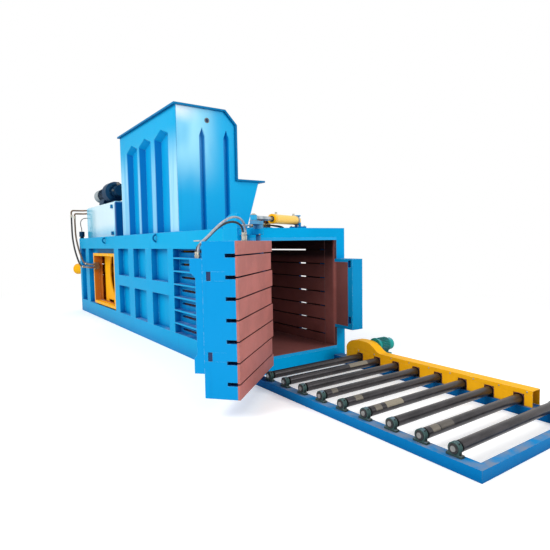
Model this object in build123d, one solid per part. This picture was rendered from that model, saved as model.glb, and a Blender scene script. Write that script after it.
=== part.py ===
from build123d import *
import os
from math import cos, hypot, pi, radians, sin, tan

# Horizontal recycling baler with a side-hung bale door and a driven roller table.
# X is the pressing direction, Y runs across the machine, Z is up and zero is the ground.
# The origin lies on the ground under the middle of the exit frame. All sizes are in mm.

# Press chamber
chamber_width = 1154.0
chamber_height = 1250.0
chamber_floor = 187.0
liner_thickness = 32.0
wall_thickness = 36.0
deck_thickness = 36.0
body_length = 6571.0
lining_seam = 178.0

# Side beams and ribs
rib_depth = 90.0
rib_width = 250.0
front_rib_width = 190.0
rib_pitch = 797.0
rib_count = 4
rear_post_width = 129.0
rear_rib_gap = 396.0
sill_height = 254.0
top_beam_height = 219.0
mid_rail_share = 0.436
mid_rail_height = 175.0
bearer_width = 120.0
bearer_pitch = 1040.0
bearer_count = 6

# Exit frame
exit_depth = 300.0
header_height = 139.0
hinge_guard_height = 146.0
hinge_guard_thickness = 47.0
hinge_guard_bend_share = 0.42
hinge_guard_bend_drop = 36.0
hinge_guard_level_share = 0.3

# Strapping section, with a slot for each wire
strapping_length = 1369.0
slot_count = 7
slot_pitch_share = 0.136
first_slot_share = 0.092
slot_height = 30.0
groove_height = 16.0
slot_rear_land = 54.0
slot_front_land = 280.0
far_slot_length = 147.0
fin_thickness = 20.0

# Service window on the near side
window_setback = 363.0
window_above_sill = 24.0
window_below_roof = 170.0
window_strip = 50.0

# Hopper
hopper_front = 1437.0
hopper_length = 2313.0
hopper_side = 682.0
hopper_height = 1641.0
hopper_chamfer_y = 28.0
hopper_chamfer_drop = 182.0
hopper_far_edge = 206.0
feed_lip_rise = 727.0
feed_lip_y = 570.0
feed_foot_y = 340.0
sheet = 10.0
rim_width = 35.0
rim_height = 25.0
lip_width = 82.0
tray_centres = (3174.0, 2592.0, 1951.0)
tray_width = 512.0
tray_depth = 90.0
tray_draft = 30.0
tray_tip_drop = 240.0
tray_shoulder = 90.0
groove_centres = (-311.0, 50.0)
front_groove_width = 88.0
front_groove_depth = 70.0
front_groove_draft = 14.0
front_groove_tip_drop = 264.0
front_groove_shoulder = 117.0
sight_hole_radius = 22.0
sight_hole_y = -236.0
sight_hole_drop = 170.0

# Throat in the roof and its shear knife
throat_front = 1640.0
throat_rear = 3700.0
knife_length = 60.0
knife_height = 70.0
knife_teeth = 9
knife_tooth_depth = 28.0

# Ram
ram_rest = 3750.0
ram_side_clearance = 3.0
ram_floor_clearance = 0.4
ram_roof_clearance = 4.0
ram_face_thickness = 60.0
ram_plate = 40.0
ram_side_plate = 25.0
ram_side_length = 1600.0
ram_tail_length = 2200.0
ram_web_setback = 910.0
ram_window_share = 0.376
ram_window_setback = 810.0
ram_window_raise = 78.0
ram_tail_below = 441.0
ram_tail_above = 392.0
ram_tail_slope = 250.0
ram_foot_length = 170.0

# Crossed main cylinders
cylinder_above = 78.0
cylinder_below = 172.0
pivot_offset = 440.0
rod_pin_offset = 340.0
rod_pin_setback = 1298.0
barrel_radius = 115.0
barrel_bore = 90.0
barrel_tail = 580.0
barrel_cap = 30.0
gland_length = 60.0
gland_radius = 120.0
gland_setback = 170.0
rod_radius = 65.0
piston_length = 50.0
piston_clearance = 2.0
rod_eye_radius = 80.0
rod_eye_height = 80.0
rod_neck_half = 60.0
rod_lug_clearance = 4.0
rod_lug_thickness = 40.0
rod_lug_width = 200.0
collar_radius = 140.0
collar_length = 180.0
trunnion_radius = 45.0
trunnion_length = 60.0
trunnion_plate = 40.0
trunnion_gap = 10.0
slide_clearance = 0.3
bearing_clearance = 0.1

# Bale door, described shut
door_gap = 5.0
door_thickness = 296.0
door_half_width = 551.0
door_below_floor = 9.0
door_below_roof = 1.0
door_swing = 138.3
wear_plate = 20.0
wear_gap = 12.0
door_groove_depth = 85.0
stile_width = 46.0
lug_slots = (1, 4, 6)
lug_thickness = 60.0
lug_pocket = 80.0
lug_radius = 58.0
lug_root_outer = 715.0
lug_root_inner = 609.0
hinge_x = 300.0
hinge_y = -578.0
shaft_radius = 25.0
shaft_bottom = 240.0
knuckle_radius = 50.0
knuckle_height = 96.0
knuckle_gap = 5.0
top_lug_drop = 76.0

# Crank and door cylinder
crank_radius = 150.0
crank_angle = -49.0
crank_rise = 24.0
crank_thickness = 36.0
crank_hub_radius = 55.0
crank_boss_radius = 38.0
eye_gap = 4.0
door_eye_height = 48.0
door_eye_radius = 34.0
door_barrel_radius = 50.0
door_barrel_bore = 40.0
door_barrel_length = 588.0
door_rod_radius = 22.0
door_base_x = 0.0
door_base_y = 158.0
door_pin_radius = 20.0
door_cap_length = 24.0
door_gland_length = 30.0
door_piston_length = 40.0
door_piston_gap = 4.0
door_seat_length = 150.0
door_seat_width = 130.0
door_seat_plate = 20.0
door_stem_radius = 36.0

# Lock on the door and keeper on the far jamb
bolt_thickness = 36.0
bolt_height = 72.0
bolt_length = 200.0
bolt_inset = 5.0
bolt_setback = 245.0
low_bolt_rise = 330.0
high_bolt_drop = 277.0
bolt_clearance = 0.4
lock_beam_width = 120.0
lock_beam_proud = 60.0
lock_beam_rise = 190.0
lock_beam_drop = 135.0
lock_low_rise = 317.0
lock_low_proud = 85.0
lock_high_drop = 245.0
lock_high_proud = 105.0
keeper_depth = 297.0
keeper_rise = 222.0
keeper_drop = 220.0
keeper_plate_depth = 224.0
keeper_plate_thickness = 12.0
keeper_border = 36.0
keeper_window_depth = 72.0
keeper_window_play = 4.0

# Oil tank and pump set
tank_inset = 171.0
tank_to_hopper = 765.0
tank_near_side = 600.0
tank_width = 1100.0
tank_height = 654.0
tank_corner = 45.0
cap_inset_x = 260.0
cap_inset_y = 220.0
cap_height = 60.0
cap_radius = 55.0
motor_y = -450.0
motor_above_tank = 200.0
cowl_setback = 1452.0
cowl_length = 299.0
cowl_radius = 128.0
motor_length = 502.0
motor_radius = 112.0
motor_fin = 20.0
motor_fin_count = 24
motor_fin_thickness = 5.0
motor_foot_reach = 130.0
motor_foot_waist = 60.0
motor_foot_plate = 20.0
motor_foot_start = 90.0
motor_foot_end = 400.0
cowl_rounding = 24.0
bell_slope = 50.0
flange_length = 40.0
flange_radius = 165.0
bell_length = 300.0
bell_radius = 190.0
pump_length = 240.0
pump_radius = 95.0

# Roller table
roller_count = 9
driven_rollers = 8
first_roller = 561.0
roller_pitch = 256.0
roller_radius = 38.0
roller_axis = 127.0
roller_near_end = 600.0
roller_far_end = 572.0
roller_shaft = 20.0
table_end = 2822.0
table_end_rail = 65.0
rail_height = 77.0
near_rail_outer = 690.0
near_rail_inner = 600.0
far_rail_inner = 560.0
far_rail_outer = 690.0
block_depth = 36.0
block_radius = 42.0
block_foot = 110.0
block_foot_height = 16.0
block_neck_share = 1.7
shaft_past_near_block = 7.0
shaft_past_far_block = 6.0
tooth_sink = 4.0
tooth_root_half = 5.5
tooth_tip_half = 2.0
near_block_y = -640.0
far_block_y = 612.0

# Chain guard and drive
guard_inner = 580.0
guard_outer = 695.0
guard_start = 343.0
guard_end = 2465.0
guard_top = 210.0
hump_length = 507.0
hump_height = 100.0
guard_sheet = 4.0
guard_hole = 44.0
sprocket_radius = 44.0
sprocket_teeth = 14
sprocket_width = 12.0
table_chain_y = 668.0
drive_chain_y = 648.0
drive_x = 675.0
drive_z = 252.0
drive_sprocket_radius = 34.0
drive_sprocket_teeth = 10
drive_shaft_radius = 16.0
chain_clearance = 0.5
chain_height = 9.0
chain_width = 16.0
gearmotor_radius = 72.0
gearmotor_length = 165.0
gearmotor_cowl = 66.0
gearmotor_collar = 14.0
gearmotor_collar_length = 20.0
gearmotor_cowl_step = 6.0
gearmotor_cowl_rounding = 16.0
shelf_width = 150.0
shelf_plate = 16.0
shelf_length = 190.0
saddle_width = 90.0
saddle_height = 40.0
saddle_end = 170.0
gusset_thickness = 16.0

# Spin-on filter at the rear corner of the roof
filter_inset_x = 62.0
filter_inset_y = 45.0
filter_head_radius = 40.0
filter_head_height = 40.0
filter_radius = 55.0
filter_height = 150.0
filter_rounding = 14.0

# Lifting rings on the top beams and lugs on the tank
ring_behind_hopper = 922.0
ring_behind_hopper_front = 649.0
ring_drop = 69.0
ring_radius = 50.0
ring_bar_radius = 13.0
ear_length = 90.0
ear_height = 65.0
ear_inset = 60.0
ear_thickness = 30.0
ear_hole_radius = 14.0

# Rear pipes and hoses
pipe_radius = 17.0
low_pipe_rise = 549.0
high_pipe_rise = 619.0
pipe_inset = 60.0
port_block = 80.0
hose_radius = 18.0
loop_radius = 8.0
door_hose_radius = 11.0
fitting_radius = 15.0

# Places worked out from the sizes above
front = exit_depth / 2
frame_back = -exit_depth / 2
body_rear = frame_back - body_length
inner = chamber_width / 2
wall_in = inner + liner_thickness
rib_in = wall_in + wall_thickness
outer = rib_in + rib_depth
roof = chamber_floor + chamber_height
chamber_middle = chamber_floor + chamber_height / 2
body_top = roof + header_height
mid_rail_bottom = chamber_floor + mid_rail_share * chamber_height
deck_top = chamber_floor - liner_thickness
deck_bottom = deck_top - deck_thickness
roof_plate = roof + liner_thickness
strapping_rear = frame_back - strapping_length
post_front = body_rear + rear_post_width
rear_rib_back = post_front + rear_rib_gap
slot_pitch = slot_pitch_share * chamber_height
first_slot = chamber_floor + first_slot_share * chamber_height
slots = [first_slot + slot_pitch * i for i in range(slot_count)]
hopper_back = -hopper_front - hopper_length
hopper_top = body_top + hopper_height
hopper_chamfer_z = hopper_top - hopper_chamfer_drop
feed_lip_height = body_top + feed_lip_rise
tray_tip = hopper_top - tray_tip_drop
front_groove_tip = hopper_top - front_groove_tip_drop
sight_hole_z = hopper_top - sight_hole_drop
main_rib_fronts = [strapping_rear - rib_pitch * i for i in range(rib_count)]
window_front = main_rib_fronts[-1] - rib_width
window_rear = rear_rib_back + rib_width + window_setback
window_bottom = sill_height + window_above_sill
window_top = roof - window_below_roof
ram_window_radius = ram_window_share * chamber_height
ram_window_height = chamber_middle + ram_window_raise
ram_tail_bottom = chamber_middle - ram_tail_below
ram_tail_top = chamber_middle + ram_tail_above
cylinder_high = chamber_middle + cylinder_above
cylinder_low = chamber_middle - cylinder_below
door_bottom = chamber_floor - door_below_floor
door_top = roof - door_below_roof
top_lug_height = body_top - top_lug_drop
crank_bottom = body_top + crank_rise
bolt_heights = (chamber_floor + low_bolt_rise, roof - high_bolt_drop)
lock_beam_bottom = chamber_floor + lock_beam_rise
lock_beam_top = roof - lock_beam_drop
lock_low_top = chamber_floor + lock_low_rise
lock_high_bottom = roof - lock_high_drop
keeper_bottom = chamber_floor + keeper_rise
keeper_top = roof - keeper_drop
tank_back = body_rear + tank_inset
tank_front = hopper_back - tank_to_hopper
tank_top = body_top + tank_height
cowl_back = tank_front - cowl_setback
motor_z = tank_top + motor_above_tank
pipe_low = body_top + low_pipe_rise
pipe_high = body_top + high_pipe_rise
hinge = Axis((hinge_x, hinge_y, 0), (0, 0, 1))
door_face = front + door_gap
door_back = door_face + door_thickness
bolt_x = door_face + bolt_setback
door_eye_z = crank_bottom + crank_thickness + eye_gap + door_eye_height / 2


def bar(x0, x1, y0, y1, z0, z1):
    """Straight bar or plate between two opposite corners."""
    return Pos((x0 + x1) / 2, (y0 + y1) / 2, (z0 + z1) / 2) * Box(x1 - x0, y1 - y0, z1 - z0)


def polygon(*points):
    """Flat outline with straight edges."""
    return make_face(Polyline(*points, close=True))


def side_plate(outline, y0, y1):
    """Outline drawn in X and Z, as thick as from y0 to y1."""
    return extrude(Plane.XZ.offset(-y0) * outline, amount=-(y1 - y0))


def end_plate(outline, x0, x1):
    """Outline drawn in Y and Z, as thick as from x0 to x1."""
    return extrude(Plane.YZ.offset(x0) * outline, amount=x1 - x0)


def level_plate(outline, z0, z1):
    """Outline drawn in X and Y, as thick as from z0 to z1."""
    return extrude(Plane.XY.offset(z0) * outline, amount=z1 - z0)


def round_bar(start, end, radius, bore=0.0):
    """Round bar or tube between two points."""
    axis = Vector(*end) - Vector(*start)
    section = Circle(radius) - Circle(bore) if bore else Circle(radius)
    return extrude(Plane(origin=start, z_dir=axis) * section, amount=axis.length)


def both_sides(pieces):
    """The given pieces and their mirror images across the machine."""
    return pieces + [mirror(piece, about=Plane.XZ) for piece in pieces]


def save(name, pieces):
    """Write one sub-part with all its solids."""
    solids = [solid for piece in pieces for solid in piece.solids()]
    export_step(Compound(children=solids), f"parts/{name}.step")


def base_frame():
    """Two long sills, the cross bearers between them and the deck on top."""
    sills = both_sides([bar(body_rear, frame_back, -outer, -rib_in, 0, sill_height)])
    last = frame_back - bearer_width
    bearers = [
        bar(last - bearer_pitch * i, last - bearer_pitch * i + bearer_width, -rib_in, rib_in, 0, deck_bottom)
        for i in range(bearer_count)
    ]
    tail = bar(body_rear, post_front, -rib_in, rib_in, 0, deck_bottom)
    deck = bar(body_rear, frame_back, -rib_in, rib_in, deck_bottom, deck_top)
    return sills + bearers + [tail, deck]


def side_ribs():
    """Upright box ribs between sill and top beam, and the rails halfway up."""
    top = body_top - top_beam_height
    spans = [(body_rear, post_front), (rear_rib_back, rear_rib_back + rib_width)]
    for i, rib_front in enumerate(main_rib_fronts):
        width = front_rib_width if i == 0 else rib_width
        spans.append((rib_front - width, rib_front))
    uprights = [bar(x0, x1, -outer, -rib_in, sill_height, top) for x0, x1 in spans]
    rails = []
    for i in range(rib_count - 1):
        ahead = spans[2 + i][0]
        behind = spans[3 + i][1]
        rails.append(bar(behind, ahead, -outer, -rib_in, mid_rail_bottom, mid_rail_bottom + mid_rail_height))
    return both_sides(uprights + rails)


def side_walls():
    """Wall plates behind the strapping section, with the service window in the near one."""
    z0, z1 = deck_top, roof_plate
    w0, w1 = window_rear + window_strip, window_front - window_strip
    v0, v1 = window_bottom + window_strip, window_top - window_strip
    near = [
        bar(body_rear, w0, -rib_in, -wall_in, z0, z1),
        bar(w1, strapping_rear, -rib_in, -wall_in, z0, z1),
        bar(w0, w1, -rib_in, -wall_in, z0, v0),
        bar(w0, w1, -rib_in, -wall_in, v1, z1),
    ]
    far = bar(body_rear, strapping_rear, wall_in, rib_in, z0, z1)
    return near + [far]


def bar_edges(bottom, top, gap):
    """Lower and upper edges of the strips between the wire slots."""
    lows = [bottom] + [z + gap / 2 for z in slots]
    highs = [z - gap / 2 for z in slots] + [top]
    return list(zip(lows, highs))


def strapping_walls():
    """Horizontal bars with a wire slot between each two, and the fins outside them."""
    rear, ahead = strapping_rear, frame_back
    pieces = []
    for z0, z1 in bar_edges(deck_top, roof_plate, slot_height):
        pieces += both_sides([bar(rear, ahead, -rib_in, -wall_in, z0, z1)])
    for i, z in enumerate(slots):
        z0, z1 = z - slot_height / 2, z + slot_height / 2
        pieces.append(bar(rear, rear + slot_rear_land, -rib_in, -wall_in, z0, z1))
        pieces.append(bar(ahead - slot_front_land, ahead, -rib_in, -wall_in, z0, z1))
        far_land = ahead - slot_front_land - far_slot_length
        if i == slot_count - 1:
            far_land = rear + slot_rear_land
        pieces.append(bar(rear, far_land, wall_in, rib_in, z0, z1))
        pieces.append(bar(ahead - slot_front_land, ahead, wall_in, rib_in, z0, z1))
    for z0, z1 in zip(slots[:-1], slots[1:]):
        middle = (z0 + z1) / 2
        fin = bar(rear, ahead, -outer, -rib_in, middle - fin_thickness / 2, middle + fin_thickness / 2)
        pieces += both_sides([fin])
    return pieces


def top_beams():
    """Long box beams along both upper edges."""
    return both_sides([bar(body_rear, frame_back, -outer, -rib_in, body_top - top_beam_height, body_top)])


def roof_plates():
    """Roof skin round the feed throat, on cross beams and the curb of the throat."""
    skin = body_top - deck_thickness
    near, far = -inner, feed_foot_y - sheet
    plates = [
        bar(body_rear, -throat_rear, -rib_in, rib_in, skin, body_top),
        bar(-throat_front, frame_back, -rib_in, rib_in, skin, body_top),
        bar(-throat_rear, -throat_front, far, rib_in, skin, body_top),
        bar(-throat_rear, -throat_front, -rib_in, near, skin, body_top),
    ]
    curb = [
        bar(-throat_rear, -throat_front, near - liner_thickness, near, roof_plate, skin),
        bar(-throat_rear, -throat_front, far, far + bearer_width, roof_plate, skin),
        bar(-throat_rear - bearer_width, -throat_rear, -rib_in, rib_in, roof_plate, skin),
        bar(-throat_front, -throat_front + bearer_width, -rib_in, rib_in, roof_plate, skin),
    ]
    crosses = [bar(body_rear, post_front, -rib_in, rib_in, roof_plate, skin)]
    crosses.append(bar(frame_back - bearer_width, frame_back, -rib_in, rib_in, roof_plate, skin))
    crosses.append(bar(window_rear, window_rear + bearer_width, -rib_in, rib_in, roof_plate, skin))
    return plates + curb + crosses


def chamber_liner():
    """Wear plates on the floor, walls and roof of the chamber, the exit and the keeper."""
    seam = front - lining_seam
    pieces = [
        bar(hopper_back, seam, -wall_in, wall_in, deck_top, chamber_floor),
        bar(seam, front, -wall_in, wall_in, deck_top, chamber_floor),
        bar(-throat_front, seam, -wall_in, wall_in, roof, roof_plate),
        bar(seam, front, -wall_in, wall_in, roof, roof_plate),
        bar(hopper_back, -throat_front, feed_foot_y - sheet, wall_in, roof, roof_plate),
        bar(hopper_back, -throat_front, -wall_in, -inner, roof, roof_plate),
    ]
    pieces += both_sides([bar(hopper_back, strapping_rear, -wall_in, -inner, chamber_floor, roof)])
    for z0, z1 in bar_edges(chamber_floor, roof, groove_height):
        pieces += both_sides([bar(strapping_rear, seam, -wall_in, -inner, z0, z1)])
    pieces += both_sides([bar(seam, front, -wall_in, -inner, chamber_floor, roof)])
    z0, z1 = keeper_bottom + keeper_border, keeper_top - keeper_border
    pieces.append(bar(front, front + keeper_plate_depth, inner, inner + keeper_plate_thickness, z0, z1))
    return pieces


def rear_lining():
    """Plates that guide the ram behind the throat."""
    w0, w1 = window_rear + window_strip, window_front - window_strip
    v0, v1 = window_bottom + window_strip, window_top - window_strip
    ahead = hopper_back
    return [
        bar(post_front, ahead, inner, wall_in, chamber_floor, roof),
        bar(post_front, w0, -wall_in, -inner, chamber_floor, roof),
        bar(w1, ahead, -wall_in, -inner, chamber_floor, roof),
        bar(w0, w1, -wall_in, -inner, chamber_floor, v0),
        bar(w0, w1, -wall_in, -inner, v1, roof),
        bar(post_front, ahead, -wall_in, wall_in, deck_top, chamber_floor),
        bar(post_front, ahead, -wall_in, wall_in, roof, roof_plate),
    ]


def exit_frame():
    """Two jambs, header and sill of the exit, with the plate that guards the hinge side."""
    jambs = both_sides([bar(frame_back, front, -outer, -wall_in, 0, body_top)])
    header = bar(frame_back, front, -wall_in, wall_in, roof_plate, body_top)
    sill = bar(frame_back, front, -wall_in, wall_in, 0, deck_top)
    crown = body_top + hinge_guard_height
    low = body_top + hinge_guard_height / 3
    bend_x, bend_z = frame_back * hinge_guard_bend_share, crown - hinge_guard_bend_drop
    level_x = -frame_back * hinge_guard_level_share
    shoulder = Line((frame_back, body_top), (frame_back, low))
    sweep = ThreePointArc((frame_back, low), (bend_x, bend_z), (level_x, crown))
    rest = Polyline((level_x, crown), (front, crown), (front, body_top), (frame_back, body_top))
    outline = make_face(shoulder + sweep + rest)
    guard = side_plate(outline, -outer, -outer + hinge_guard_thickness)
    return jambs + [header, sill, guard]


def hinge_lugs():
    """Lugs on the near jamb that carry the hinge shaft."""
    arm = polygon(
        (front, -lug_root_outer),
        (hinge_x, hinge_y - lug_radius),
        (hinge_x, hinge_y + lug_radius),
        (front, -lug_root_inner),
    )
    outline = arm + Pos(hinge_x, hinge_y) * Circle(lug_radius)
    outline -= Pos(hinge_x, hinge_y) * Circle(shaft_radius + bearing_clearance)
    heights = [lug_middle(i) - lug_thickness / 2 for i in lug_slots] + [top_lug_height]
    return [level_plate(outline, z, z + lug_thickness) for z in heights]


def lug_middle(i):
    """Height of the middle of the door bar above slot number i."""
    return slots[i] - slot_pitch / 2


def keeper_block():
    """Block on the far jamb with two windows that take the lock bolts."""
    block = bar(front, front + keeper_depth, inner, outer, keeper_bottom, keeper_top)
    z0, z1 = keeper_bottom + keeper_border, keeper_top - keeper_border
    block -= bar(front, front + keeper_plate_depth, inner, inner + keeper_plate_thickness, z0, z1)
    for z in bolt_heights:
        x0 = bolt_x - bolt_thickness / 2 - keeper_window_play
        x1 = bolt_x + bolt_thickness / 2 + keeper_window_play
        reach = bolt_height / 2 + keeper_window_play
        block -= bar(x0, x1, inner, inner + keeper_window_depth, z - reach, z + reach)
    return [block]


def main_pivot(side, height):
    """Centre of a main cylinder's trunnions. Side is -1 for the near one."""
    return Vector(body_rear, side * pivot_offset, height)


def trunnion_brackets():
    """Pairs of plates at the rear that hold the trunnions of the main cylinders."""
    pieces = []
    for side, height in ((-1, cylinder_high), (1, cylinder_low)):
        reach = pivot_offset - collar_radius * 0.7
        outline = Pos(body_rear, -(reach + wall_in) / 2) * Rectangle(2 * rear_post_width, wall_in - reach)
        outline = fillet(outline.vertices().group_by(Axis.Y)[-1], 60)
        outline -= Pos(body_rear, -pivot_offset) * Circle(trunnion_radius + bearing_clearance)
        for step in (1, -1):
            z = height + step * (collar_radius + trunnion_gap + trunnion_plate / 2)
            plate = level_plate(outline, z - trunnion_plate / 2, z + trunnion_plate / 2)
            pieces.append(plate if side < 0 else mirror(plate, about=Plane.XZ))
    return pieces


def window_frame():
    """Frame of flat bars round the service window."""
    z0, z1 = window_bottom, window_top
    return [
        bar(window_rear, window_rear + window_strip, -outer, -rib_in, z0, z1),
        bar(window_front - window_strip, window_front, -outer, -rib_in, z0, z1),
        bar(window_rear + window_strip, window_front - window_strip, -outer, -rib_in, z0, z0 + window_strip),
        bar(window_rear + window_strip, window_front - window_strip, -outer, -rib_in, z1 - window_strip, z1),
    ]


def hopper_outline(near_edge):
    """End wall of the hopper, with the lip of the side feed, in Y and Z."""
    return polygon(
        (near_edge, body_top),
        (near_edge, hopper_top),
        (hopper_chamfer_y, hopper_top),
        (hopper_far_edge, hopper_chamfer_z),
        (hopper_far_edge, feed_lip_height),
        (feed_lip_y, feed_lip_height),
        (feed_foot_y, body_top),
    )


def pointed(width, tip, shoulder, extra=0.0):
    """Outline of a pressed recess with a pointed head, run below the foot of the hopper."""
    half = width / 2 + extra
    foot = body_top - 2 * tray_depth
    return polygon(
        (-half, foot),
        (-half, tip - shoulder + extra / 2),
        (0, tip + extra),
        (half, tip - shoulder + extra / 2),
        (half, foot),
    )


def hopper_side_wall():
    """Near wall of the hopper with three deep trays pressed inwards."""
    x0, x1 = hopper_back, -hopper_front
    wall = bar(x0, x1, -hopper_side, -hopper_side + sheet, body_top, hopper_top)
    plane = Plane.XZ.offset(hopper_side)
    draft = tray_draft
    for centre in tray_centres:
        cup = Pos(-centre, 0) * pointed(tray_width, tray_tip, tray_shoulder, sheet)
        wall += extrude(plane * cup, amount=-(tray_depth + sheet), taper=draft)
    for centre in tray_centres:
        hollow = Pos(-centre, 0) * pointed(tray_width, tray_tip, tray_shoulder)
        wall -= extrude(plane * hollow, amount=-tray_depth, taper=draft)
    keep = bar(x0, x1, -hopper_side, 0, body_top, hopper_top)
    return [wall & keep]


def hopper_front_wall():
    """Front wall with two narrow grooves and a sight hole."""
    near_edge = -hopper_side + sheet
    wall = end_plate(hopper_outline(near_edge), -hopper_front - sheet, -hopper_front)
    plane = Plane.YZ.offset(-hopper_front)
    size = (front_groove_width, front_groove_tip, front_groove_shoulder)
    depth, draft = front_groove_depth, front_groove_draft
    for centre in groove_centres:
        cup = Pos(centre, 0) * pointed(*size, sheet)
        wall += extrude(plane * cup, amount=-(depth + sheet), taper=draft)
    for centre in groove_centres:
        hollow = Pos(centre, 0) * pointed(*size)
        wall -= extrude(plane * hollow, amount=-depth, taper=draft)
    hole = (sight_hole_y, sight_hole_z)
    wall -= round_bar((-hopper_front - sheet, *hole), (-hopper_front, *hole), sight_hole_radius)
    keep = bar(-hopper_front - 2 * tray_depth, -hopper_front, near_edge, feed_lip_y, body_top, hopper_top)
    return [wall & keep]


def hopper_rear_walls():
    """Plain rear wall and the sloping plate under the side feed."""
    near_edge = -hopper_side + sheet
    rear = end_plate(hopper_outline(near_edge), hopper_back, hopper_back + sheet)
    slope = polygon(
        (feed_foot_y - sheet, body_top),
        (feed_foot_y, body_top),
        (feed_lip_y, feed_lip_height),
        (feed_lip_y - sheet, feed_lip_height),
    )
    return [rear, end_plate(slope, hopper_back + sheet, -hopper_front - sheet)]


def rim_band(x0, x1):
    """Flat bar that follows the open edge of an end wall."""
    low = feed_lip_height
    outer_edge = [
        (-hopper_side, hopper_top),
        (hopper_chamfer_y, hopper_top),
        (hopper_far_edge, hopper_chamfer_z),
        (hopper_far_edge, low),
        (feed_lip_y + lip_width, low),
    ]
    drop = rim_height
    lean = drop * tan(radians(45.0 / 2))
    inner_edge = [
        (feed_lip_y + lip_width, low - drop),
        (hopper_far_edge - drop, low - drop),
        (hopper_far_edge - drop, hopper_chamfer_z - lean),
        (hopper_chamfer_y - lean, hopper_top - drop),
        (-hopper_side, hopper_top - drop),
    ]
    return end_plate(polygon(*outer_edge, *inner_edge), x0, x1)


def hopper_rim():
    """Stiffening rim round the mouth, standing out from the walls."""
    x0, x1 = hopper_back, -hopper_front
    side = bar(x0 - rim_width, x1 + rim_width, -hopper_side - rim_width, -hopper_side,
               hopper_top - rim_height, hopper_top)
    lip = bar(x0, x1, feed_lip_y, feed_lip_y + lip_width, feed_lip_height - rim_height, feed_lip_height)
    slope_cut = end_plate(hopper_outline(-hopper_side), x0, x1)
    return [rim_band(x1, x1 + rim_width), rim_band(x0 - rim_width, x0), side, lip - slope_cut]


def throat_knife():
    """Shear bar with sawtooth edge across the front of the throat."""
    y0, y1 = -inner, feed_foot_y - sheet
    pitch = (y1 - y0) / knife_teeth
    points = [(-throat_front, y0), (-throat_front - knife_length, y0)]
    for i in range(knife_teeth):
        points.append((-throat_front - knife_length - knife_tooth_depth, y0 + pitch * (i + 0.5)))
        points.append((-throat_front - knife_length, y0 + pitch * (i + 1)))
    points.append((-throat_front, y1))
    return [level_plate(polygon(*points), roof, roof + knife_height)]


def ram():
    """Press ram: slotted face, head, box body with round side windows, and rod lugs."""
    half = inner - ram_side_clearance
    face = -ram_rest
    head = face - ram_face_thickness - ram_plate
    low = chamber_floor + ram_floor_clearance
    high = roof - ram_roof_clearance
    pieces = [
        bar(face - ram_face_thickness, face, -half, half, z0, z1)
        for z0, z1 in bar_edges(low, high, slot_height)
    ]
    pieces.append(bar(head, face - ram_face_thickness, -half, half, low, high))
    web = face - ram_web_setback
    tail = face - ram_side_length
    pieces.append(bar(face - ram_tail_length, head, -half, half, high - ram_plate, high))
    pieces.append(bar(web - ram_foot_length, head, -half, half, low, low + ram_plate))
    floor_line, roof_line = low + ram_plate, high - ram_plate
    pieces.append(bar(web, web + ram_plate, -half + ram_side_plate, half - ram_side_plate,
                      floor_line, roof_line))
    for y in (-half / 3, half / 3):
        pieces.append(bar(web + ram_plate, head, y - ram_side_plate / 2, y + ram_side_plate / 2,
                          floor_line, roof_line))
    outline = polygon(
        (tail, low),
        (tail, ram_tail_top),
        (tail + ram_tail_slope, roof_line),
        (head, roof_line),
        (head, floor_line),
        (web - ram_foot_length, floor_line),
        (web - ram_foot_length, ram_tail_bottom),
        (tail + ram_foot_length, ram_tail_bottom),
        (tail + ram_foot_length, low),
    )
    outline -= Pos(face - ram_window_setback, ram_window_height) * Circle(ram_window_radius)
    pieces += both_sides([side_plate(outline, -half, -half + ram_side_plate)])
    for side, height in ((1, cylinder_high), (-1, cylinder_low)):
        pin_x = face - rod_pin_setback
        for step in (1, -1):
            z = height + step * (rod_eye_height / 2 + rod_lug_clearance + rod_lug_thickness / 2)
            y = side * rod_pin_offset
            pieces.append(bar(pin_x - rod_lug_width / 2, web, y - rod_lug_width / 2, y + rod_lug_width / 2,
                              z - rod_lug_thickness / 2, z + rod_lug_thickness / 2))
    return pieces


def heading(side):
    """Turn about the vertical, in degrees, of a main cylinder at rest."""
    along = (-ram_rest - rod_pin_setback) - body_rear
    across = rod_pin_offset + pivot_offset
    return -side * Vector(along, across, 0).get_angle(Vector(1, 0, 0))


def rest_length():
    """Distance from trunnion to rod pin at rest."""
    return hypot((-ram_rest - rod_pin_setback) - body_rear, rod_pin_offset + pivot_offset)


def place(piece, side, height):
    """Put a cylinder piece, drawn along X from its trunnion, where it belongs."""
    pivot = main_pivot(side, height)
    return Pos(pivot.X, pivot.Y, pivot.Z) * Rot(0, 0, heading(side)) * piece


def main_barrel(side, height):
    """Barrel with end cap, gland, trunnion collar and two trunnions."""
    gland = rest_length() - gland_setback
    body = round_bar((-barrel_tail, 0, 0), (gland - gland_length, 0, 0), barrel_radius)
    body += round_bar((gland - gland_length, 0, 0), (gland, 0, 0), gland_radius)
    collar = round_bar((-collar_length / 2, 0, 0), (collar_length / 2, 0, 0), collar_radius)
    reach = collar_radius + trunnion_length
    collar += round_bar((0, 0, -reach), (0, 0, reach), trunnion_radius)
    collar -= round_bar((-collar_length / 2, 0, 0), (collar_length / 2, 0, 0), barrel_radius)
    body -= round_bar((-barrel_tail + barrel_cap, 0, 0), (gland - gland_length, 0, 0), barrel_bore)
    body -= round_bar((gland - gland_length, 0, 0), (gland, 0, 0), rod_radius + slide_clearance)
    return [place(body, side, height), place(collar, side, height)]


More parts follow.
